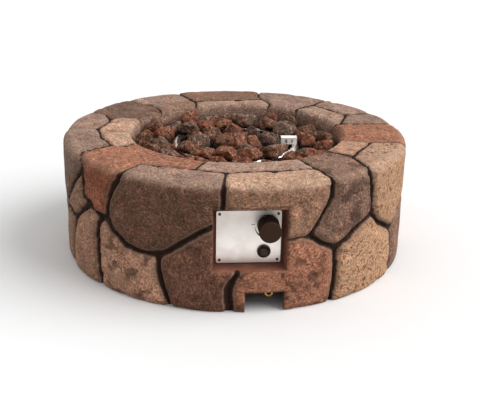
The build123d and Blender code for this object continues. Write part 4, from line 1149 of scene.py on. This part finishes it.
def slot_finishes():
    """A finish for each of the record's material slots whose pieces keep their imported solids, and for single
    pieces that look different from the rest of their slot. A metal has its colour, tint, roughness, the
    spacing of its lines in millimetres, their direction and their relief. The others have two colours,
    roughness, the grain's size in millimetres, its relief and their gloss."""
    return {
        # rolled steel sheet that fires have tinted straw and brown
        "pan_steel": worked_metal("rolled_steel_heat_tinted", "#8f8a84", "#6b5748", 0.42, 1.2, ALONG_X, 0.03),
        # browned screws: dark brown, slightly oily sheen
        "screw_steel": worked_metal("browned_steel", "#553b2e", "#38261d", 0.38, 0.9, EVEN, 0.03),
        # stainless tube, drawn and left bright, a little tinted by heat
        "burner_steel": worked_metal("drawn_stainless_bright", "#e4e0da", "#cdbfae", 0.24, 1.4, EVEN, 0.02),
        # stainless sheet pressed to shape, dulled by pickling
        "igniter_guard": worked_metal(
            "pressed_stainless_pickled", "#f3efeb", "#e4dcd5", 0.6, 1.0, EVEN, 0.03
        ),
        # turned brass with tool lines round it
        "brass": worked_metal("turned_brass", "#c9a55c", "#a9823f", 0.28, 0.8, ALONG_X, 0.03),
        # aluminium tube drawn along its length
        "tube_metal": worked_metal("drawn_aluminium_tube", "#c4c4c6", "#a9a9ab", 0.34, 0.9, ALONG_Y, 0.02),
        # die-cast aluminium with a dull skin
        "valve_metal": worked_metal("die_cast_aluminium", "#a8a8a8", "#8d8b88", 0.5, 1.1, EVEN, 0.08),
        # brushed stainless sheet, brushed along its width, with painted shade that darkens it towards the top
        "panel_steel": worked_metal(
            "brushed_stainless_sheet", "#faf4ef", "#eee5de", 0.42, 0.7, ALONG_X, 0.02, PANEL_HAZE
        ),
        # drawn copper capillary, dulled
        "copper_tube": worked_metal("drawn_copper_tube", "#b87a56", "#8a553a", 0.36, 0.8, EVEN, 0.02),
        # phenolic moulded in a spark-finished tool: dark brown and matte, its front face lightened by a
        # painted highlight
        "knob_plastic": moulded(
            "moulded_phenolic_matte", "#24150e", "#1a0e08", 0.72, 0.9, 0.08, 0.1, KNOB_RUBBED
        ),
        # nylon moulded with a dull skin: dark brown, a faint sheen
        "housing_plastic": moulded("moulded_nylon_dull", "#2b1b13", "#1e120c", 0.4, 1.0, 0.05, 0.12),
        # ABS moulded in a polished tool: dark brown, with a gloss that its uneven skin breaks up
        "button_plastic": moulded("moulded_abs_gloss", "#4a2c1c", "#23130b", 0.2, 3.0, 0.5, 0.25),
        # alumina fired without glaze: warm white, faintly rough
        "ceramic": moulded("alumina_unglazed", "#e9e2d3", "#d8cdb9", 0.48, 0.8, 0.03),
        # silicone lead: soft dark sheath
        "lead_rubber": moulded("extruded_silicone", "#2a2725", "#1c1a19", 0.6, 1.0, 0.03),
    }


class FIREPIT_OT_finishes(bpy.types.Operator):
    """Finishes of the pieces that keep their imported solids"""

    bl_idname = "firepit.finishes"
    bl_label = "Metal and plastic finishes"

    def execute(self, context):
        finishes = slot_finishes()
        slots = {part["node"]: part["material_slot"] for part in frame["record"]["subparts"]}
        for name, node in frame["nodes"].items():
            if slots[name] in REPLACED_SLOTS:
                continue
            finish = finishes.get(name, finishes.get(slots[name]))
            if finish is None:
                raise RuntimeError(f"{name} has no finish")
            node.data.materials.clear()
            node.data.materials.append(finish)
        return {"FINISHED"}


def arc_strip(inside, outside, turn):
    """A flat strip on the panel round the knob: two edges, with their distances from the axis at each
    angle."""
    across = np.stack([inside, outside])
    x = KNOB_AXIS[0] + across * np.sin(turn)
    z = KNOB_AXIS[1] + across * np.cos(turn)
    return np.stack([x, np.full_like(x, PANEL_FRONT - INK_LIFT), z], -1).reshape(-1, 3)


class FIREPIT_OT_dial(bpy.types.Operator):
    """Tick and tapered arc printed round the knob"""

    bl_idname = "firepit.dial"
    bl_label = "Dial marks"

    def execute(self, context):
        turn = np.radians(np.linspace(*ARC_TURN, ARC_STEPS))
        inside = np.full(ARC_STEPS, ARC_INSIDE)
        arc = arc_strip(inside, inside + np.linspace(*ARC_WIDTH, ARC_STEPS), turn)
        tick = arc_strip(*(np.full(2, reach) for reach in TICK_REACH), np.radians(TICK_TURN))
        first = np.arange(ARC_STEPS - 1)
        arc_faces = np.stack([first, first + 1, first + 1 + ARC_STEPS, first + ARC_STEPS], 1)
        tick_faces = np.array([(0, 1, 3, 2)]) + 2 * ARC_STEPS
        ink = moulded("screen_printed_ink", "#3b2f29", "#2f2520", 0.6, 1.0, 0.01)
        piece = make_object("dial_marks", np.concatenate([arc, tick]), [arc_faces, tick_faces], [ink])
        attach(piece, "surround")
        return {"FINISHED"}


class FirePitStage(bpy.types.PropertyGroup):
    """Light and floor of the studio."""

    key_strength: bpy.props.FloatProperty(
        name="Side light", description="Soft light from the right", default=2.35
    )
    top_strength: bpy.props.FloatProperty(
        name="Top light", description="Soft light from above", default=0.6
    )
    sky_strength: bpy.props.FloatProperty(
        name="Fill light", description="Even light from all round", default=0.42
    )
    floor_colour: colour_setting("Floor", "Floor as the camera sees it", "#fdfdfd")


def seen_directly(tree):
    """1 where the camera looks at something straight, in a reflection or through glass, and 0 elsewhere."""
    path = add_node(tree, "LightPath", {}, {}).outputs
    seen = path["Is Camera Ray"]
    for other in ("Is Glossy Ray", "Is Transmission Ray"):
        seen = add_node(tree, "Math", {"operation": "MAXIMUM"}, {0: seen, 1: path[other]})
    return seen


class FIREPIT_OT_stage(bpy.types.Operator):
    """Pale floor, soft studio light and the camera"""

    bl_idname = "firepit.stage"
    bl_label = "Studio"

    def execute(self, context):
        settings = context.scene.fire_pit_stage
        scene = context.scene
        scene.view_settings.view_transform = "Standard"
        self.floor(settings)
        self.sky(scene, settings)
        self.lamp("side_light", settings.key_strength, *SIDE_LIGHT)
        self.lamp("top_light", settings.top_strength, *TOP_LIGHT)
        self.camera(scene)
        return {"FINISHED"}

    def floor(self, settings):
        """A floor that the camera sees pale, and that throws less light back at the object."""
        plain = {"Roughness": 1.0, "Specular IOR Level": 0.0}
        material, tree, shader = new_material("painted_floor", plain)
        shade = {0: seen_directly(tree), 6: linear("#8c8c8c"), 7: settings.floor_colour}
        fill(tree, shader, {"Base Color": add_node(tree, "Mix", COVER, shade)})
        corners = np.array([(-1.0, -1.0, 0.0), (1.0, -1.0, 0.0), (1.0, 1.0, 0.0), (-1.0, 1.0, 0.0)])
        make_object("floor", corners * FLOOR_HALF, [np.array([(0, 1, 2, 3)])], [material])

    def sky(self, scene, settings):
        """Even light from all round, white where it is seen."""
        world = bpy.data.worlds.new("studio")
        world.use_nodes = True
        tree = world.node_tree
        shown = {"Value": seen_directly(tree), "To Min": settings.sky_strength, "To Max": 1.0}
        strength = add_node(tree, "MapRange", {}, shown)
        fill(tree, tree.nodes["Background"], {"Color": linear("#ffffff"), "Strength": strength})
        scene.world = world

    def lamp(self, name, strength, spread_angle, place):
        """A broad soft light that shines from one side towards the middle."""
        light = bpy.data.lights.new(name, "SUN")
        light.energy = strength
        light.angle = math.radians(spread_angle)
        lamp = bpy.data.objects.new(name, light)
        bpy.context.scene.collection.objects.link(lamp)
        lamp.rotation_euler = Vector(place).to_track_quat("Z", "Y").to_euler()
        lamp.location = place

    def camera(self, scene):
        """The photograph's view: from a place to a target, rolled a little."""
        place = Vector(CAMERA_PLACE) * MM
        target = Vector(CAMERA_TARGET) * MM
        roll = math.radians(CAMERA_ROLL)
        ahead = (target - place).normalized()
        right = ahead.cross(Vector((0.0, 0.0, 1.0))).normalized()
        up = right.cross(ahead)
        across = math.cos(roll) * right + math.sin(roll) * up
        above = -math.sin(roll) * right + math.cos(roll) * up
        turned = Matrix((across, above, -ahead)).transposed().to_4x4()
        lens = bpy.data.cameras.new("camera")
        lens.lens = CAMERA_LENS
        lens.sensor_width = CAMERA_SENSOR
        camera = bpy.data.objects.new("camera", lens)
        scene.collection.objects.link(camera)
        camera.matrix_world = Matrix.Translation(place) @ turned
        scene.camera = camera


class FIREPIT_PT_sidebar(bpy.types.Panel):
    """Lists the fire pit's settings and pieces"""

    bl_label = "Fire pit"
    bl_idname = "FIREPIT_PT_sidebar"
    bl_space_type = "VIEW_3D"
    bl_region_type = "UI"
    bl_category = "Fire pit"

    def draw(self, context):
        for name, group in GROUPS.items():
            box = self.layout.box()
            settings = getattr(context.scene, name)
            for field in group.__annotations__:
                box.prop(settings, field)
        for operator in OPERATORS:
            self.layout.operator(operator.bl_idname)


GROUPS = {"fire_pit_stone": FirePitStone, "fire_pit_rocks": FirePitRocks, "fire_pit_stage": FirePitStage}
OPERATORS = [FIREPIT_OT_stage, FIREPIT_OT_surround, FIREPIT_OT_rocks, FIREPIT_OT_dial, FIREPIT_OT_finishes]


def register():
    """Adds the settings, the operators and the panel to Blender."""
    for group in [*GROUPS.values(), *OPERATORS, FIREPIT_PT_sidebar]:
        bpy.utils.register_class(group)
    for name, group in GROUPS.items():
        setattr(bpy.types.Scene, name, bpy.props.PointerProperty(type=group))


def unregister():
    """Takes them out again."""
    for name in GROUPS:
        delattr(bpy.types.Scene, name)
    for group in reversed([*GROUPS.values(), *OPERATORS, FIREPIT_PT_sidebar]):
        bpy.utils.unregister_class(group)


def main():
    register()
    bpy.ops.firepit.stage()
    bpy.ops.firepit.surround()
    bpy.ops.firepit.rocks()
    bpy.ops.firepit.dial()
    bpy.ops.firepit.finishes()


if __name__ == "__main__":
    main()
